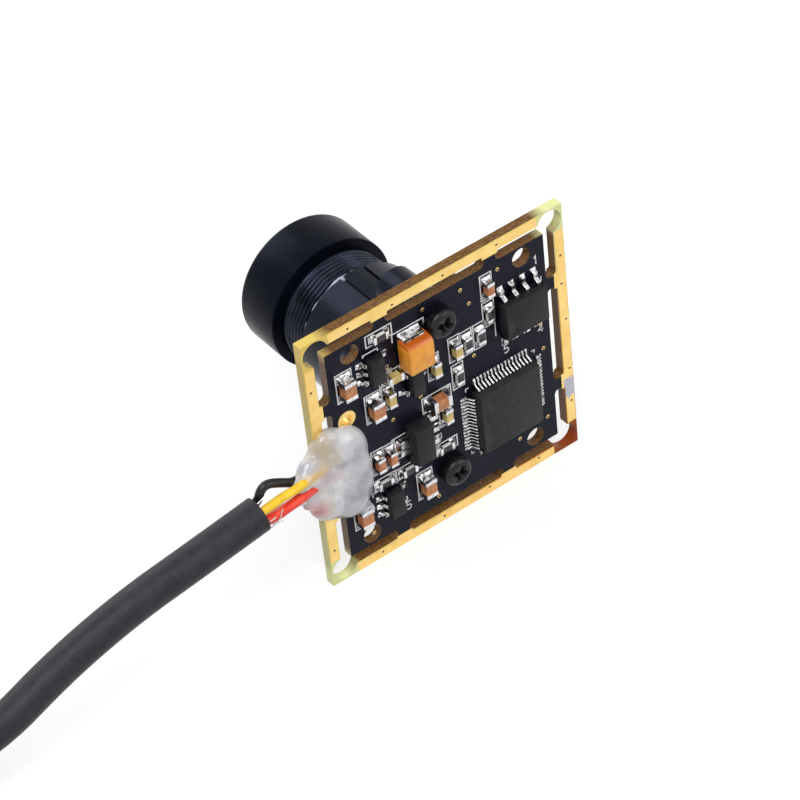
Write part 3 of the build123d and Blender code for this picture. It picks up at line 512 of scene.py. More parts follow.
def curve(name, points, diameter, material, slot, replaces=()):
    """A round cord on a smooth line with the points as its control points."""
    data = bpy.data.curves.new(name, "CURVE")
    data.dimensions = "3D"
    data.bevel_depth = 1.0
    data.bevel_resolution = 8
    data.resolution_u = 12
    data.use_fill_caps = True
    line = data.splines.new("NURBS")
    line.points.add(len(points) - 1)
    for place, point in zip(line.points, points):
        place.co = (*(Vector(point) * MM), 1.0)
        place.radius = diameter / 2 * MM
    line.order_u = 3
    line.use_endpoint_u = True
    return new_piece(name, data, material, slot=slot, replaces=replaces)


def arc(middle, radius, first, last, count):
    """Points of a rounded corner in (radius, depth)."""
    points = []
    for index in range(count):
        angle = math.radians(first + (last - first) * index / (count - 1))
        points.append((middle[0] + radius * math.cos(angle), middle[1] + radius * math.sin(angle)))
    return points


def hank_points():
    """The wound turns of the hank, clockwise from above.

    The strand keeps to one of eight places in the bundle for most of a turn. It moves to the
    next place a little before its turn is up, so that the place it leaves is free in time.
    """
    out, half, rise = CABLE_DIAMETER, CABLE_DIAMETER / 2, CABLE_DIAMETER * math.sqrt(3) / 2
    places = [(out, rise), (0, rise), (-out, rise), (-half, 0)]
    places += [(-out, -rise), (0, -rise), (half, 0), (out, -rise)]
    turn_steps = 2 * (RUN_STEPS + BEND_STEPS)
    last = HANK_TURNS * turn_steps + RUN_STEPS
    stay = (last - CHANGE_STEPS * (len(places) - 1)) / len(places)
    middle_y = CABLE_ROUTE[-1][1] - CABLE_DIAMETER - HANK_BEND
    points = []
    for step in range(last + 1):
        place = min(int(step // (stay + CHANGE_STEPS)), len(places) - 1)
        share = max(0.0, (step - place * (stay + CHANGE_STEPS) - stay) / CHANGE_STEPS)
        share = share * share * (3 - 2 * share)
        here, following = Vector(places[place]), Vector(places[min(place + 1, len(places) - 1)])
        outward, height = here.lerp(following, share)
        radius = HANK_BEND + outward
        along = step % turn_steps
        far = along >= turn_steps / 2
        along = along % (turn_steps / 2)
        run = HANK_RUN * min(along / RUN_STEPS, 1.0)
        bend = math.pi * max(along - RUN_STEPS, 0) / BEND_STEPS
        side = -1 if far else 1
        start = HANK_START_X + (HANK_RUN if far else 0)
        x = start + side * (run + radius * math.sin(bend))
        points.append((x, middle_y + side * radius * math.cos(bend), HANK_MIDDLE_Z + height))
    return points


def build_cable():
    """The whole cable: out of the glue, down to the hank, round it and into the plug."""
    points = CABLE_ROUTE + hank_points() + PLUG_LEAD
    sheath = "cable_sheath"
    cable = curve("cable_run", points, CABLE_DIAMETER, sheath, sheath, ("cable", "cable_hank"))
    cable.data.resolution_u = 6


# Barrel, as (radius, depth): its rear end, and the steps of its bore from the front back
BARREL_REAR = [(3.93, 5.5), (5.65, 5.5), (BARREL_RADIUS, 5.8)]
BARREL_BORE = [(5.95, HEAD_FRONT), (5.88, HEAD_FRONT - 0.08), (5.88, 19.6), (5.28, 19.6), (5.28, 17.5)]
BARREL_BORE += [(4.65, 17.5), (1.3, 8.9), (1.3, 8.1), (3.33, 8.1), (3.33, 5.8), (3.93, 5.8)]
THREAD_START, THREAD_END = 12.2, HEAD_REAR - 0.55
THREAD_STEPS, THREAD_INSET, FLANK_SLOPE = 8, 0.02, 1.25
NECK_DEPTH, NECK_LENGTH = 0.35, 0.4
HEAD_REAR_EDGE, HEAD_FRONT_EDGE = 0.15, 0.6
BARREL_STEPS = 128


def build_barrel():
    """The turned barrel: threaded shank, wide head and stepped bore."""
    rows = BARREL_REAR + [(BARREL_RADIUS, THREAD_START - 0.1)]
    count = int((THREAD_END - THREAD_START) / THREAD_PITCH * THREAD_STEPS)
    for index in range(count + 1):
        depth = THREAD_START + index * THREAD_PITCH / THREAD_STEPS
        ease = min(1.0, index / THREAD_STEPS, (count - index) / THREAD_STEPS)
        rows.append((BARREL_RADIUS - THREAD_INSET, depth, ease))
    neck = BARREL_RADIUS - NECK_DEPTH
    rows += [(neck, HEAD_REAR - NECK_LENGTH), (neck, HEAD_REAR)]
    rear = (HEAD_RADIUS - HEAD_REAR_EDGE, HEAD_REAR + HEAD_REAR_EDGE)
    front = (HEAD_RADIUS - HEAD_FRONT_EDGE, HEAD_FRONT - HEAD_FRONT_EDGE)
    rows += arc(rear, HEAD_REAR_EDGE, -90, 0, 4)
    rows += arc(front, HEAD_FRONT_EDGE, 0, 90, 8)
    rows += BARREL_BORE

    def around(angle, row):
        if len(row) < 3:
            return row[0]
        phase = (row[1] / THREAD_PITCH - angle / (2 * math.pi)) % 1.0
        crest = abs(2 * phase - 1)
        return row[0] - THREAD_HEIGHT * row[2] * (1 - min(1.0, FLANK_SLOPE * crest))

    piece = turned(
        "lens_barrel_finish", rows, BARREL_STEPS, ("lens_black",), "lens_black", ("lens_barrel",), around
    )
    piece.data.materials.append(surfaces["lens_thread"].material)
    for face in piece.data.polygons:
        if THREAD_START < -face.center.y / MM < THREAD_END:
            face.material_index = 1


# The bead's usual and wandering thickness, its stretch across, its place off barrel and rim, and
# how closely its lumps follow each other
BEAD_SIZE, BEAD_SWING, BEAD_STRETCH = 0.34, 0.2, 1.25
BEAD_OUT, BEAD_FORWARD, BEAD_LUMPS = 0.12, 0.02, 3.2


def build_lock_glue():
    """A bead of whitish glue along the holder's rim, thick and thin by turns."""
    steps, sides = 90, 10
    mesh = bmesh.new()
    rings = []
    for step in range(steps + 1):
        angle = math.radians(LOCK_GLUE_START + LOCK_GLUE_ARC * step / steps)
        ends = min(1.0, 6 * math.sin(math.pi * step / steps) + 0.15)
        place = Vector((BEAD_LUMPS * math.cos(angle), BEAD_LUMPS * math.sin(angle), 0.6))
        lump = noise.fractal(place, 0.8, 2.0, 3)
        size = (BEAD_SIZE + BEAD_SWING * lump) * ends
        ring = []
        for side in range(sides):
            turn = 2 * math.pi * side / sides
            radius = BARREL_RADIUS + BEAD_OUT + BEAD_STRETCH * size * math.cos(turn)
            depth = HOLDER_DEPTH + BEAD_FORWARD + size * math.sin(turn)
            point = (LENS_X + radius * math.cos(angle), -depth, LENS_Z + radius * math.sin(angle))
            ring.append(mesh.verts.new(Vector(point) * MM))
        rings.append(ring)
    for first, second in zip(rings, rings[1:]):
        bridge(mesh, first, second)
    mesh.faces.new(rings[0])
    mesh.faces.new(rings[-1])
    bmesh.ops.recalc_face_normals(mesh, faces=mesh.faces)
    new_piece(
        "lock_glue_bead", mesh, "lock_glue", slot="lock_glue", replaces=("lens_lock_glue",), smooth=80
    )


def box(name):
    """A node's lowest and highest corner, in millimetres."""
    return [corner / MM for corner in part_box(name)]


def chip_boxes():
    """The corners of each capacitor and resistor, and whether it is longer along Z."""
    for name in sorted(nodes):
        if name.startswith(("capacitor_", "resistor_")):
            low, high = box(name)
            yield low, high, high.z - low.z > high.x - low.x


def cap_chooser(node, cap, metal_from=1):
    """Sorts a capacitor's or resistor's faces: body, or metal where they lie on an end cap."""
    low, high = box(node)
    axis = 0 if high.x - low.x > high.z - low.z else 2
    middle = (low[axis] + high[axis]) / 2
    half = (high[axis] - low[axis]) / 2

    def choose(centre, normal):
        return metal_from if abs(centre[axis] - middle) > half - cap - CAP_MARGIN else 0

    return choose


CAP_MARGIN = 0.01
LARGE_CAP, SMALL_CAP, RESISTOR_CAP = 0.4, 0.32, 0.3
LARGE_CAPACITORS = {1, 2, 3, 4, 5}
BROWN_CAPACITORS = LARGE_CAPACITORS | {9, 12, 13}
RESISTOR_SURFACES = ("resistor_black", "resistor_white", "cap_metal")


def build_chips():
    """Capacitors and resistors: their bodies, with bright end caps."""
    for name in sorted(nodes):
        if name.startswith("capacitor_"):
            number = int(name[-2:])
            body = "ceramic_brown" if number in BROWN_CAPACITORS else "ceramic_tan"
            cap = LARGE_CAP if number in LARGE_CAPACITORS else SMALL_CAP
            softened(name, 0.05, (body, "cap_metal"), body, cap_chooser(name, cap), smooth=80)
        if name.startswith("resistor_"):
            ends = cap_chooser(name, RESISTOR_CAP, 2)

            def choose(centre, normal, ends=ends):
                kind = ends(centre, normal)
                return kind if kind else (0 if normal.y > 0.7 else 1)

            softened(name, 0.03, RESISTOR_SURFACES, "resistor_black", choose, smooth=80)


def build_packages():
    """Chip packages, their leads, and the tantalum capacitor."""
    for name in ("memory_chip", "upper_regulator", "lower_regulator", "clock_switch", "power_regulator"):
        softened(name, 0.06, ("chip_plastic",), "chip_plastic")
    softened("processor", 0.05, ("processor_plastic",), "chip_plastic")
    for name in sorted(nodes):
        if name.endswith("_leads"):
            softened(name, 0.03, ("lead_metal",), "lead_metal")
    softened("tantalum_terminals", 0.03, ("terminal_metal",), "lead_metal")
    softened("tantalum_capacitor", 0.1, ("tantalum_case",), "tantalum_case")


# Packages as in the CAD model: middle, turn, then for each side of leads its turn and offsets,
# and the tip, foot length, half width, climb, reach and margin of its solder. PAD is a pad's height.
PAD = 0.05


def spread(count, pitch):
    """Evenly spaced offsets about zero."""
    return [(index - (count - 1) / 2) * pitch for index in range(count)]


FIVE = [(0, spread(3, 0.95)), (180, spread(2, 1.9))]
THREE = [(0, spread(2, 1.9)), (180, [0.0])]
PROCESSOR = [(turn, spread(16, 0.4)) for turn in (0, 90, 180, 270)]
MEMORY = [(turn, spread(4, 1.27)) for turn in (0, 180)]
CORE_PADS = ((0, 3.1), (0, 1.4), (180, 1.4), (180, 3.1))
PACKAGES = [
    ((-6.2, -4.43), 0, PROCESSOR, 4.5, 0.4, 0.09, 0.08, 0.22, 0.03),
    ((-8.85, 5.65), 90, MEMORY, 3.1, 0.6, 0.21, 0.34, 0.36, 0.1),
    ((7.48, 8.17), 0, FIVE, 1.4, 0.38, 0.2, 0.26, 0.32, 0.08),
    ((7.1, -8.2), 0, FIVE, 1.4, 0.38, 0.2, 0.26, 0.32, 0.08),
    ((3.43, 4.43), 0, THREE, 1.3, 0.38, 0.2, 0.26, 0.32, 0.08),
    ((3.68, -2.67), 0, [(180, spread(3, 1.45))], 2.35, 1.2, 0.24, 0.36, 0.4, 0.12),
    ((3.68, -2.67), 0, [(0, [0.0])], 2.05, 0.9, 0.85, 0.4, 0.4, 0.12),
    ((3.3, 8.1), 90, [(0, [0.0]), (180, [0.0])], 1.72, 0.4, 1.1, 0.8, 0.42, 0.14),
    *[((11.75, 0.05), 90, [(turn, [0.0])], tip, 1.1, 0.62, 0.45, 0.1, 0.1) for turn, tip in CORE_PADS],
]
# Where a skirt's rows lie: shares of its reach past the toe, and of its margin beside the foot
TOE_SHARES = (0.12, 0.28, 0.46, 0.68, 0.86, 1.0)
SIDE_SHARES = (1.0, 0.7, 0.4, 0.15, 0.0)
SKIRT_LEAN, SKIRT_HOLLOW = 0.25, 1.8
# Solder on capacitors and resistors: metal ends as a share of the length, climb as shares of the
# height, reach past the end with its growth for tall ones, and margin beside it
END_SHARE, END_CLIMB, END_REACH, END_REACH_GROWTH, END_MARGIN = 0.2, (0.62, 0.9), 0.24, 0.22, 0.13
LEAD_CLIMB = (0.8, 1.15)


def flow(mesh, place, turn, foot, half_width, climb, reach, margin):
    """A skirt of solder that rises in a hollow curve to the foot standing in it.

    The foot starts at the place and runs along the turn. The skirt passes its toe and its sides.
    """
    angle = math.radians(turn)
    outward = Vector((math.cos(angle), math.sin(angle)))
    aside = Vector((-outward.y, outward.x))
    along = [0.0, foot / 2, foot] + [foot + reach * share for share in TOE_SHARES]
    beside = [half_width + margin * share for share in SIDE_SHARES]
    across = [-gap for gap in beside] + [0.0] + beside[::-1]
    lean = random.uniform(-SKIRT_LEAN, SKIRT_LEAN)
    rows = []
    for run in along:
        row = []
        for offset in across:
            past = max(0.0, run - foot) / reach
            out = max(0.0, abs(offset) - half_width) / margin
            fall = max(0.0, 1 - math.hypot(past, out))
            tilt = 1 + lean * offset / (half_width + margin)
            spot = Vector(place) + outward * run + aside * offset
            height = PAD + climb * tilt * fall**SKIRT_HOLLOW
            row.append(mesh.verts.new(Vector((spot.x, height, spot.y)) * MM))
        rows.append(row)
    for first, second in zip(rows, rows[1:]):
        bridge(mesh, first, second, closed=False)
    rim = rows[0] + [row[-1] for row in rows[1:]] + rows[-1][-2::-1] + [row[0] for row in rows[-2:0:-1]]
    foot_rim = [mesh.verts.new((vertex.co.x, 0.0, vertex.co.z)) for vertex in rim]
    bridge(mesh, rim, foot_rim, inverted=True)
    mesh.faces.new(foot_rim)


def build_solder():
    """Every joint on the board, as one piece."""
    mesh = bmesh.new()
    for low, high, upright in chip_boxes():
        width, length = sorted((high.x - low.x, high.z - low.z))
        middle = Vector(((low.x + high.x) / 2, (low.z + high.z) / 2))
        outward = Vector((0, 1)) if upright else Vector((1, 0))
        cap = END_SHARE * length
        reach = END_REACH + END_REACH_GROWTH * high.y
        for side in (-1, 1):
            place = middle + side * (length / 2 - cap) * outward
            turn = (90 if upright else 0) + (0 if side > 0 else 180)
            climb = (high.y - PAD) * random.uniform(*END_CLIMB)
            flow(mesh, place, turn, cap, width / 2, climb, reach, END_MARGIN)
    for middle, base_turn, rows, tip, foot, half_width, climb, reach, margin in PACKAGES:
        for turn, offsets in rows:
            angle = math.radians(base_turn + turn)
            outward = Vector((math.cos(angle), math.sin(angle)))
            aside = Vector((-outward.y, outward.x))
            for offset in offsets:
                place = Vector(middle) + outward * (tip - foot) + aside * offset
                height = climb * random.uniform(*LEAD_CLIMB)
                flow(mesh, place, base_turn + turn, foot, half_width, height, reach, margin)
    bmesh.ops.recalc_face_normals(mesh, faces=mesh.faces)
    new_piece("solder_finish", mesh, "solder", slot="solder", replaces=("solder_joints",), smooth=50)


INK_WIDTH, INK_HEIGHT, BOARD_BACK = 0.13, 0.016, -1.0


def ribbon(mesh, points, width=INK_WIDTH, closed=False, height=INK_HEIGHT, base=0.0):
    """A flat line on a face of the board, mitred at its corners."""
    points = [Vector(point) for point in points]
    count = len(points)
    rows = []
    for index, point in enumerate(points):
        runs = []
        if index or closed:
            runs.append((point - points[index - 1]).normalized())
        if index < count - 1 or closed:
            runs.append((points[(index + 1) % count] - point).normalized())
        sides = [Vector((-run.y, run.x)) for run in runs]
        middle = sum(sides, Vector((0, 0))).normalized()
        reach = width / 2 / max(0.4, middle.dot(sides[0]))
        left, right = point + middle * reach, point - middle * reach
        corners = ((left, base + height), (right, base + height), (right, base), (left, base))
        rows.append([mesh.verts.new(Vector((spot.x, level, spot.y)) * MM) for spot, level in corners])
    pairs = list(zip(rows, rows[1:]))
    if closed:
        pairs.append((rows[-1], rows[0]))
    else:
        mesh.faces.new(rows[0])
        mesh.faces.new(rows[-1][::-1])
    for first, second in pairs:
        bridge(mesh, first, second, inverted=True)


# Strokes of the plain pin numbers, on a grid half as wide as it is high
DIGITS = {
    "1": [[(0.1, 0.75), (0.3, 1.0), (0.3, 0.0)]],
    "4": [[(0.4, 0.0), (0.4, 1.0), (0.0, 0.3), (0.55, 0.3)]],
    "5": [
        [(0.5, 1.0), (0.05, 1.0), (0.0, 0.55), (0.35, 0.6), (0.5, 0.4), (0.45, 0.1), (0.2, 0.0), (0.0, 0.1)]
    ],
}
# Number, and place of its lower left corner
NUMBERS = [
    ("1", (9.35, -6.75)),
    ("5", (5.55, -10.6)),
    ("5", (5.9, 5.9)),
    ("1", (-10.9, 9.3)),
    ("4", (-10.9, 1.2)),
    ("5", (-6.9, 1.1)),
    ("1", (0.0, 8.3)),
]
NUMBER_SIZE, NUMBER_WIDTH = 0.95, 0.12
# How far a frame stands off a part's sides and its soldered ends
FRAME_SIDE, FRAME_END = 0.24, 0.62
PROCESSOR_GAP, PROCESSOR_MARK, PROCESSOR_MARK_WIDTH = 0.5, 0.35, 0.11
# On the lens side: the frame round the holder, and crosses with half their size
LENS_FRAME, BACK_MARKS, BACK_MARK_HALF = 15.4, [(-10.2, 8.4), (10.2, -8.6)], 0.5


def build_silkscreen():
    """White ink: frames round the parts, bars at polarised ends, and plain pin numbers."""
    mesh = bmesh.new()
    for low, high, upright in chip_boxes():
        past_x, past_z = (FRAME_SIDE, FRAME_END) if upright else (FRAME_END, FRAME_SIDE)
        left, right, bottom, top = low.x - past_x, high.x + past_x, low.z - past_z, high.z + past_z
        ribbon(mesh, [(left, bottom), (right, bottom), (right, top), (left, top)], closed=True)
    low, high = box("tantalum_capacitor")
    left, right, bottom, top = low.x - 0.35, high.x + 0.35, low.z - 0.7, high.z + 0.75
    shoulder = top - 0.9
    ribbon(mesh, [(left, shoulder), (left, top), (right, top), (right, shoulder)])
    ribbon(mesh, [(left, bottom + 0.6), (left, bottom), (right, bottom), (right, bottom + 0.6)])
    low, high = box("power_regulator")
    right, bottom, top = high.x + 1.5, low.z + 0.9, high.z - 0.9
    ribbon(mesh, [(high.x, bottom), (right, bottom), (right, top), (high.x, top)])
    for name in ("upper_regulator", "lower_regulator", "clock_switch"):
        low, high = box(name)
        for level, side in ((low.z, -1), (high.z, 1)):
            inner, outer = level + side * 0.05, level + side * 0.32
            ribbon(mesh, [(low.x, inner), (low.x, outer), (high.x, outer), (high.x, inner)])
    low, high = box("memory_chip")
    for level, side in ((low.x, -1), (high.x, 1)):
        spot = level + side * 0.3
        ribbon(mesh, [(spot, low.z), (spot, high.z)])
    low, high = box("processor")
    middle_x, middle_z = (low.x + high.x) / 2, (low.z + high.z) / 2
    reach = (high.x - low.x) / 2 + PROCESSOR_GAP
    for side_x in (-1, 1):
        for side_z in (-1, 1):
            corner = Vector((middle_x + side_x * reach, middle_z + side_z * reach))
            along_x = corner - Vector((side_x * PROCESSOR_MARK, 0))
            along_z = corner - Vector((0, side_z * PROCESSOR_MARK))
            ribbon(mesh, [along_x, corner, along_z], PROCESSOR_MARK_WIDTH)
    side = LENS_FRAME / 2
    corners = [(LENS_X + a * side, LENS_Z + b * side) for a, b in ((-1, -1), (1, -1), (1, 1), (-1, 1))]
    ribbon(mesh, corners, closed=True, height=-INK_HEIGHT, base=BOARD_BACK)
    for x, z in BACK_MARKS:
        half = BACK_MARK_HALF
        ribbon(mesh, [(x - half, z), (x + half, z)], height=-INK_HEIGHT, base=BOARD_BACK)
        ribbon(mesh, [(x, z - half), (x, z + half)], height=-1.25 * INK_HEIGHT, base=BOARD_BACK)
    for text, place in NUMBERS:
        for stroke in DIGITS[text]:
            # The face is read from the +Y side, where X runs to the left
            spots = [Vector(place) + Vector((-NUMBER_SIZE * a, NUMBER_SIZE * b)) for a, b in stroke]
            ribbon(mesh, spots, NUMBER_WIDTH)
    bmesh.ops.recalc_face_normals(mesh, faces=mesh.faces)
    new_piece("silkscreen", mesh, "silk_ink", smooth=30)


def build_cores():
    """The four insulated cores, each on its smooth route."""
    for name, (diameter, points) in CORES.items():
        surface = "core_" + name.split("_")[0]
        curve(name + "_run", points, diameter, surface, surface, (name,))


STRAND_DIAMETER = 0.11
STRANDS = [
    [(22.6, 1.9, -0.55), (21.6, 2.35, -0.75), (20.9, 2.65, -0.35), (20.3, 2.7, 0.35), (20.0, 2.55, 0.9)],
    [(22.6, 1.2, -0.7), (21.5, 1.3, -1.0), (20.6, 1.7, -1.25), (19.8, 2.0, -1.1)],
    [(22.6, 2.4, 0.3), (21.7, 2.85, 0.5), (21.0, 3.05, 0.9)],
    [(22.6, 1.4, 1.5), (21.6, 1.6, 2.05), (20.9, 1.5, 2.35)],
]


def build_strands():
    """Loose ends of the drain wire where the sheath is cut."""
    for index, points in enumerate(STRANDS, start=1):
        curve(f"drain_strand_{index}", points, STRAND_DIAMETER, "strand_metal", None)


# Lumps of the glue before they are run together: middle, then reach along X, Y and Z
GLUE_LUMPS = [
    ((11.7, 0.3, -2.4), (2.7, 1.7, 4.6)),
    ((11.7, 0.3, 0.8), (2.5, 1.6, 2.9)),
    ((13.2, 0.2, 1.4), (2.3, 1.35, 3.0)),
    ((13.8, 0.2, -2.2), (2.5, 1.6, 3.9)),
    ((15.0, 0.4, 0.4), (1.7, 1.3, 2.3)),
    ((15.7, 0.7, 1.3), (1.3, 1.0, 1.5)),
    ((16.6, 1.1, 1.0), (1.3, 0.95, 0.95)),
    ((17.4, 1.35, 1.0), (0.9, 0.75, 0.75)),
    ((15.4, 0.6, -1.9), (1.5, 0.9, 1.5)),
    ((16.1, 1.0, -2.2), (1.1, 0.4, 0.7)),
    ((10.6, 0.2, -6.4), (1.1, 0.75, 1.3)),
    ((9.7, 0.3, -7.6), (0.6, 0.55, 0.9)),
]
GLUE_GRAIN, GLUE_SMOOTHING = 0.11, 110
GLUE_RIPPLE, GLUE_HEIGHT = 0.14, 1.6
GLUE_UNDERSIDE = -0.75


def build_glue():
    """The glue: overlapping lumps run together into one smooth milky mass over the joints."""
    mesh = bmesh.new()
    for middle, reach in GLUE_LUMPS:
        place = Matrix.Translation(Vector(middle) * MM) @ Matrix.Diagonal((*(Vector(reach) * MM), 1.0))
        bmesh.ops.create_icosphere(mesh, subdivisions=4, radius=1.0, matrix=place)
    data = bpy.data.meshes.new("glue_lumps")
    mesh.to_mesh(data)
    mesh.free()
    lumps = bpy.data.objects.new("glue_lumps", data)
    scene.collection.objects.link(lumps)
    merge = lumps.modifiers.new("merge", "REMESH")
    merge.mode = "VOXEL"
    merge.voxel_size = GLUE_GRAIN * MM
    relax = lumps.modifiers.new("relax", "SMOOTH")
    relax.factor = 0.5
    relax.iterations = GLUE_SMOOTHING
    graph = bpy.context.evaluated_depsgraph_get()
    fluid = bpy.data.meshes.new_from_object(lumps.evaluated_get(graph))
    bpy.data.objects.remove(lumps)
    for vertex in fluid.vertices:
        spot = vertex.co / MM
        ripple = noise.fractal(Vector((spot.x * 0.5, spot.y * 0.5, spot.z * 0.35)), 0.9, 2.1, 3)
        rise = max(0.0, spot.y) / GLUE_HEIGHT
        vertex.co += Vector((0, GLUE_RIPPLE * ripple * rise * MM, 0))
        vertex.co.y = max(vertex.co.y, GLUE_UNDERSIDE * MM)
    new_piece(
        "cable_glue_finish", fluid, "clear_glue", slot="clear_glue", replaces=("cable_glue",), smooth=80
    )


# Nodes that keep their CAD shape, and their materials
PLAIN_NODES = {
    "circuit_board": "board_mask",
    "edge_rails": "gold_plating",
    "plated_eyelet": "gold_plating",
    "lens_holder": "holder_moulding",
    "lens_retaining_ring": "lens_black",
    "front_lens": "lens_glass",
    "rear_lens": "lens_glass",
    "infrared_filter": "filter_glass",
    "image_sensor": "sensor_ceramic",
    "sensor_glass": "filter_glass",
    "cable_tie": "tie_black",
    "plug_grip": "plug_black",
    "plug_shell": "plug_steel",
    "plug_tongue": "tongue_white",
}


# Screws as in the CAD model, the fall of the head's rim, and the cross: how much its arms and its
# middle grow, and how far its floor sinks
SCREW_SPACING, SCREW_RADIUS, SCREW_HEIGHT, HEAD_START = 18.0, 1.5, 1.5, 0.05
SCREW_CROWN, CROSS_GROWTH, CROSS_ROOT = 0.3, 1.05, 1.7
CROSS_REACH, CROSS_MIDDLE, CROSS_FLOOR, CROSS_SINK = 0.7 * SCREW_RADIUS, 0.5, 1.2, 0.25


def crowned(spot):
    """Crowns a screw's head, and widens and deepens its cross."""
    if spot.y <= HEAD_START:
        return spot
    axis_z = LENS_Z + SCREW_SPACING / 2 * (1 if spot.z > LENS_Z else -1)
    away = Vector((spot.x - LENS_X, spot.z - axis_z))
    drop = SCREW_CROWN * (away.length / SCREW_RADIUS) ** 2 * spot.y / SCREW_HEIGHT
    if away.length < CROSS_REACH:
        away *= CROSS_ROOT if away.length < CROSS_MIDDLE else CROSS_GROWTH
        if spot.y < CROSS_FLOOR:
            drop += CROSS_SINK
    return Vector((LENS_X + away.x, spot.y - drop, axis_z + away.y))


def dress_nodes():
    """Materials for the nodes that stay, and crowned heads for the screws."""
    for name, surface in PLAIN_NODES.items():
        wear(nodes[name], surface)
    softened("holder_screws", 0.05, ("black_steel",), "black_steel", reshape=crowned)


# Small plated holes along the rails, then those through the dark mask
RAIL_VIAS = [
    (9.5, 13.9), (4.66, 13.8), (-0.95, 13.9), (-6.98, 13.97),
    (14.04, 9.16), (13.9, -10.2),
    (8.78, -13.8), (1.6, -13.9), (-3.8, -13.66), (-9.73, -13.74),
    (-13.93, 8.74), (-13.85, 5.46), (-14.08, 1.1), (-14.08, -4.96), (-14.04, -9.0),
]
BOARD_VIAS = [
    (-11.2, -9.4), (-11.3, -0.9), (-3.5, 9.1), (-2.7, 11.1), (1.5, 11.3), (-11.2, 2.1), (-1.0, -10.9),
    (-7.8, -10.1), (1.9, -11.2), (5.9, 0.9), (2.7, 1.7), (9.4, -11.0), (-3.5, 2.9), (-6.9, 11.1),
]
# Radius and height of the dish's edge, the rim's two edges, and its foot
VIA_PROFILE = ((0.11, 0.004), (0.13, 0.02), (0.18, 0.02), (0.2, 0.0))
VIA_STEPS = 20


def build_vias():
    """Small plated holes: a raised rim round a dish painted dark as the shade in the hole, on both faces.
    """
    mesh = bmesh.new()
    places = [(x, z, level, side) for x, z in RAIL_VIAS for level, side in ((0.05, 1), (-1.05, -1))]
    places += [(x, z, level, side) for x, z in BOARD_VIAS for level, side in ((0.0, 1), (-1.0, -1))]
    for x, z, level, side in places:
        rings = []
        for radius, lift in VIA_PROFILE:
            ring = []
            for step in range(VIA_STEPS):
                angle = 2 * math.pi * step / VIA_STEPS
                spot = (x + radius * math.cos(angle), level + side * lift, z + radius * math.sin(angle))
                ring.append(mesh.verts.new(Vector(spot) * MM))
            rings.append(ring)
        # The dish and its sloping edge wear painted shade for the hole
        mesh.faces.new(rings[0]).material_index = 1
        for index, (first, second) in enumerate(zip(rings, rings[1:])):
            for face in bridge(mesh, first, second):
                face.material_index = 0 if index else 1
    bmesh.ops.recalc_face_normals(mesh, faces=mesh.faces)
    new_piece("rail_vias", mesh, "gold_plating", "via_hole_shade", slot="gold_plating")


# Stage, light and camera

def shows_background(tree):
    """1 where a camera, mirror or glass ray looks at the surroundings."""
    rays = tree.nodes.new("ShaderNodeLightPath")
    total = None
    for name in ("Is Camera Ray", "Is Glossy Ray", "Is Transmission Ray"):
        if total is None:
            total = rays.outputs[name]
            continue
        add = tree.nodes.new("ShaderNodeMath")
        add.operation = "MAXIMUM"
        tree.links.new(total, add.inputs[0])
        tree.links.new(rays.outputs[name], add.inputs[1])
        total = add.outputs[0]
    return total


FLOOR_HALF, FLOOR_GREY = 1.5, 0.42
# The floor's glow rises between two distances from its middle, so that it looks white to its edge
FLOOR_GLOW = {"From Min": 0.25, "From Max": 0.8, "To Min": 0.62, "To Max": 0.8}
LIGHTS = [
    ("key", (0.25, 0.25, 0.55), 0.35, 2.2),
    ("fill", (-0.35, 0.45, 0.3), 0.4, 1.2),
    ("back", (0.1, -0.5, 0.35), 0.4, 1.2),
]
# Camera fitted to the board's corners in the photo: place in millimetres, view and its right side
CAMERA_PLACE, CAMERA_LENS = (121.4, 181.8, 196.7), 146.25
CAMERA_FORWARD, CAMERA_RIGHT = (-0.401, -0.626, -0.668), (-0.793, 0.602, -0.088)


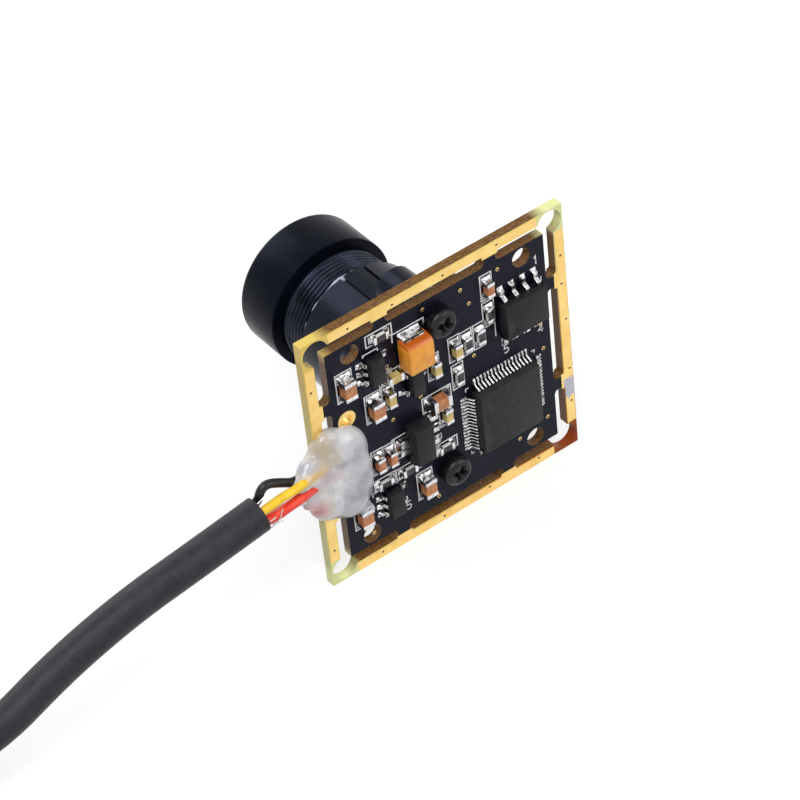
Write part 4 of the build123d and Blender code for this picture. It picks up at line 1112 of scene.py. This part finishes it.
def build_stage():
    """A plain floor that keeps the shadows and looks white."""
    mesh = bmesh.new()
    bmesh.ops.create_grid(mesh, x_segments=2, y_segments=2, size=FLOOR_HALF)
    data = bpy.data.meshes.new("floor")
    mesh.to_mesh(data)
    mesh.free()
    floor = bpy.data.objects.new("floor", data)
    floor.location = (0, 0, FLOOR_Z)
    scene.collection.objects.link(floor)
    material = bpy.data.materials.new("floor")
    material.use_nodes = True
    tree = material.node_tree
    new, link = tree.nodes.new, tree.links.new
    tree.nodes.clear()
    diffuse = new("ShaderNodeBsdfDiffuse")
    diffuse.inputs["Color"].default_value = (FLOOR_GREY, FLOOR_GREY, FLOOR_GREY, 1)
    glow = new("ShaderNodeEmission")
    glow.inputs["Color"].default_value = (1, 1, 1, 1)
    place = new("ShaderNodeTexCoord")
    away = new("ShaderNodeVectorMath")
    away.operation = "LENGTH"
    link(place.outputs["Object"], away.inputs[0])
    bright = new("ShaderNodeMapRange")
    for name, value in FLOOR_GLOW.items():
        bright.inputs[name].default_value = value
    link(away.outputs["Value"], bright.inputs["Value"])
    level = new("ShaderNodeMath")
    level.operation = "MULTIPLY"
    link(shows_background(tree), level.inputs[0])
    link(bright.outputs[0], level.inputs[1])
    link(level.outputs[0], glow.inputs["Strength"])
    both = new("ShaderNodeAddShader")
    output = new("ShaderNodeOutputMaterial")
    link(diffuse.outputs[0], both.inputs[0])
    link(glow.outputs[0], both.inputs[1])
    link(both.outputs[0], output.inputs[0])
    data.materials.append(material)


def build_world():
    """White to the eye and in mirrors, at half that strength as light."""
    world = bpy.data.worlds.new("studio")
    world.use_nodes = True
    scene.world = world
    tree = world.node_tree
    new, link = tree.nodes.new, tree.links.new
    background = tree.nodes["Background"]
    background.inputs["Color"].default_value = (1, 1, 1, 1)
    level = new("ShaderNodeMapRange")
    level.inputs["To Min"].default_value = 0.5
    level.inputs["To Max"].default_value = 1.0
    link(shows_background(tree), level.inputs["Value"])
    link(level.outputs[0], background.inputs["Strength"])


def build_light(name, place, size, power):
    """A square lamp that looks at the origin."""
    data = bpy.data.lights.new(name, "AREA")
    data.shape = "SQUARE"
    data.size = size
    data.energy = power
    lamp = bpy.data.objects.new(name, data)
    lamp.location = place
    lamp.rotation_euler = (-Vector(place)).to_track_quat("-Z", "Y").to_euler()
    scene.collection.objects.link(lamp)


def build_camera():
    """The photo's camera."""
    forward = Vector(CAMERA_FORWARD).normalized()
    right = Vector(CAMERA_RIGHT)
    right = (right - right.dot(forward) * forward).normalized()
    up = right.cross(forward)
    data = bpy.data.cameras.new("camera")
    data.lens = CAMERA_LENS
    data.sensor_width = 36
    data.clip_start = 0.01
    camera = bpy.data.objects.new("camera", data)
    turn = Matrix((right, up, -forward)).transposed()
    camera.matrix_world = Matrix.Translation(Vector(CAMERA_PLACE) * MM) @ turn.to_4x4()
    scene.collection.objects.link(camera)
    scene.camera = camera


scene.view_settings.view_transform = "Standard"
build_camera()
build_world()
build_stage()
for lamp in LIGHTS:
    build_light(*lamp)
build_cable()
dress_nodes()
build_barrel()
build_chips()
build_packages()
build_cores()
build_strands()
build_lock_glue()
build_solder()
build_silkscreen()
build_glue()
build_vias()
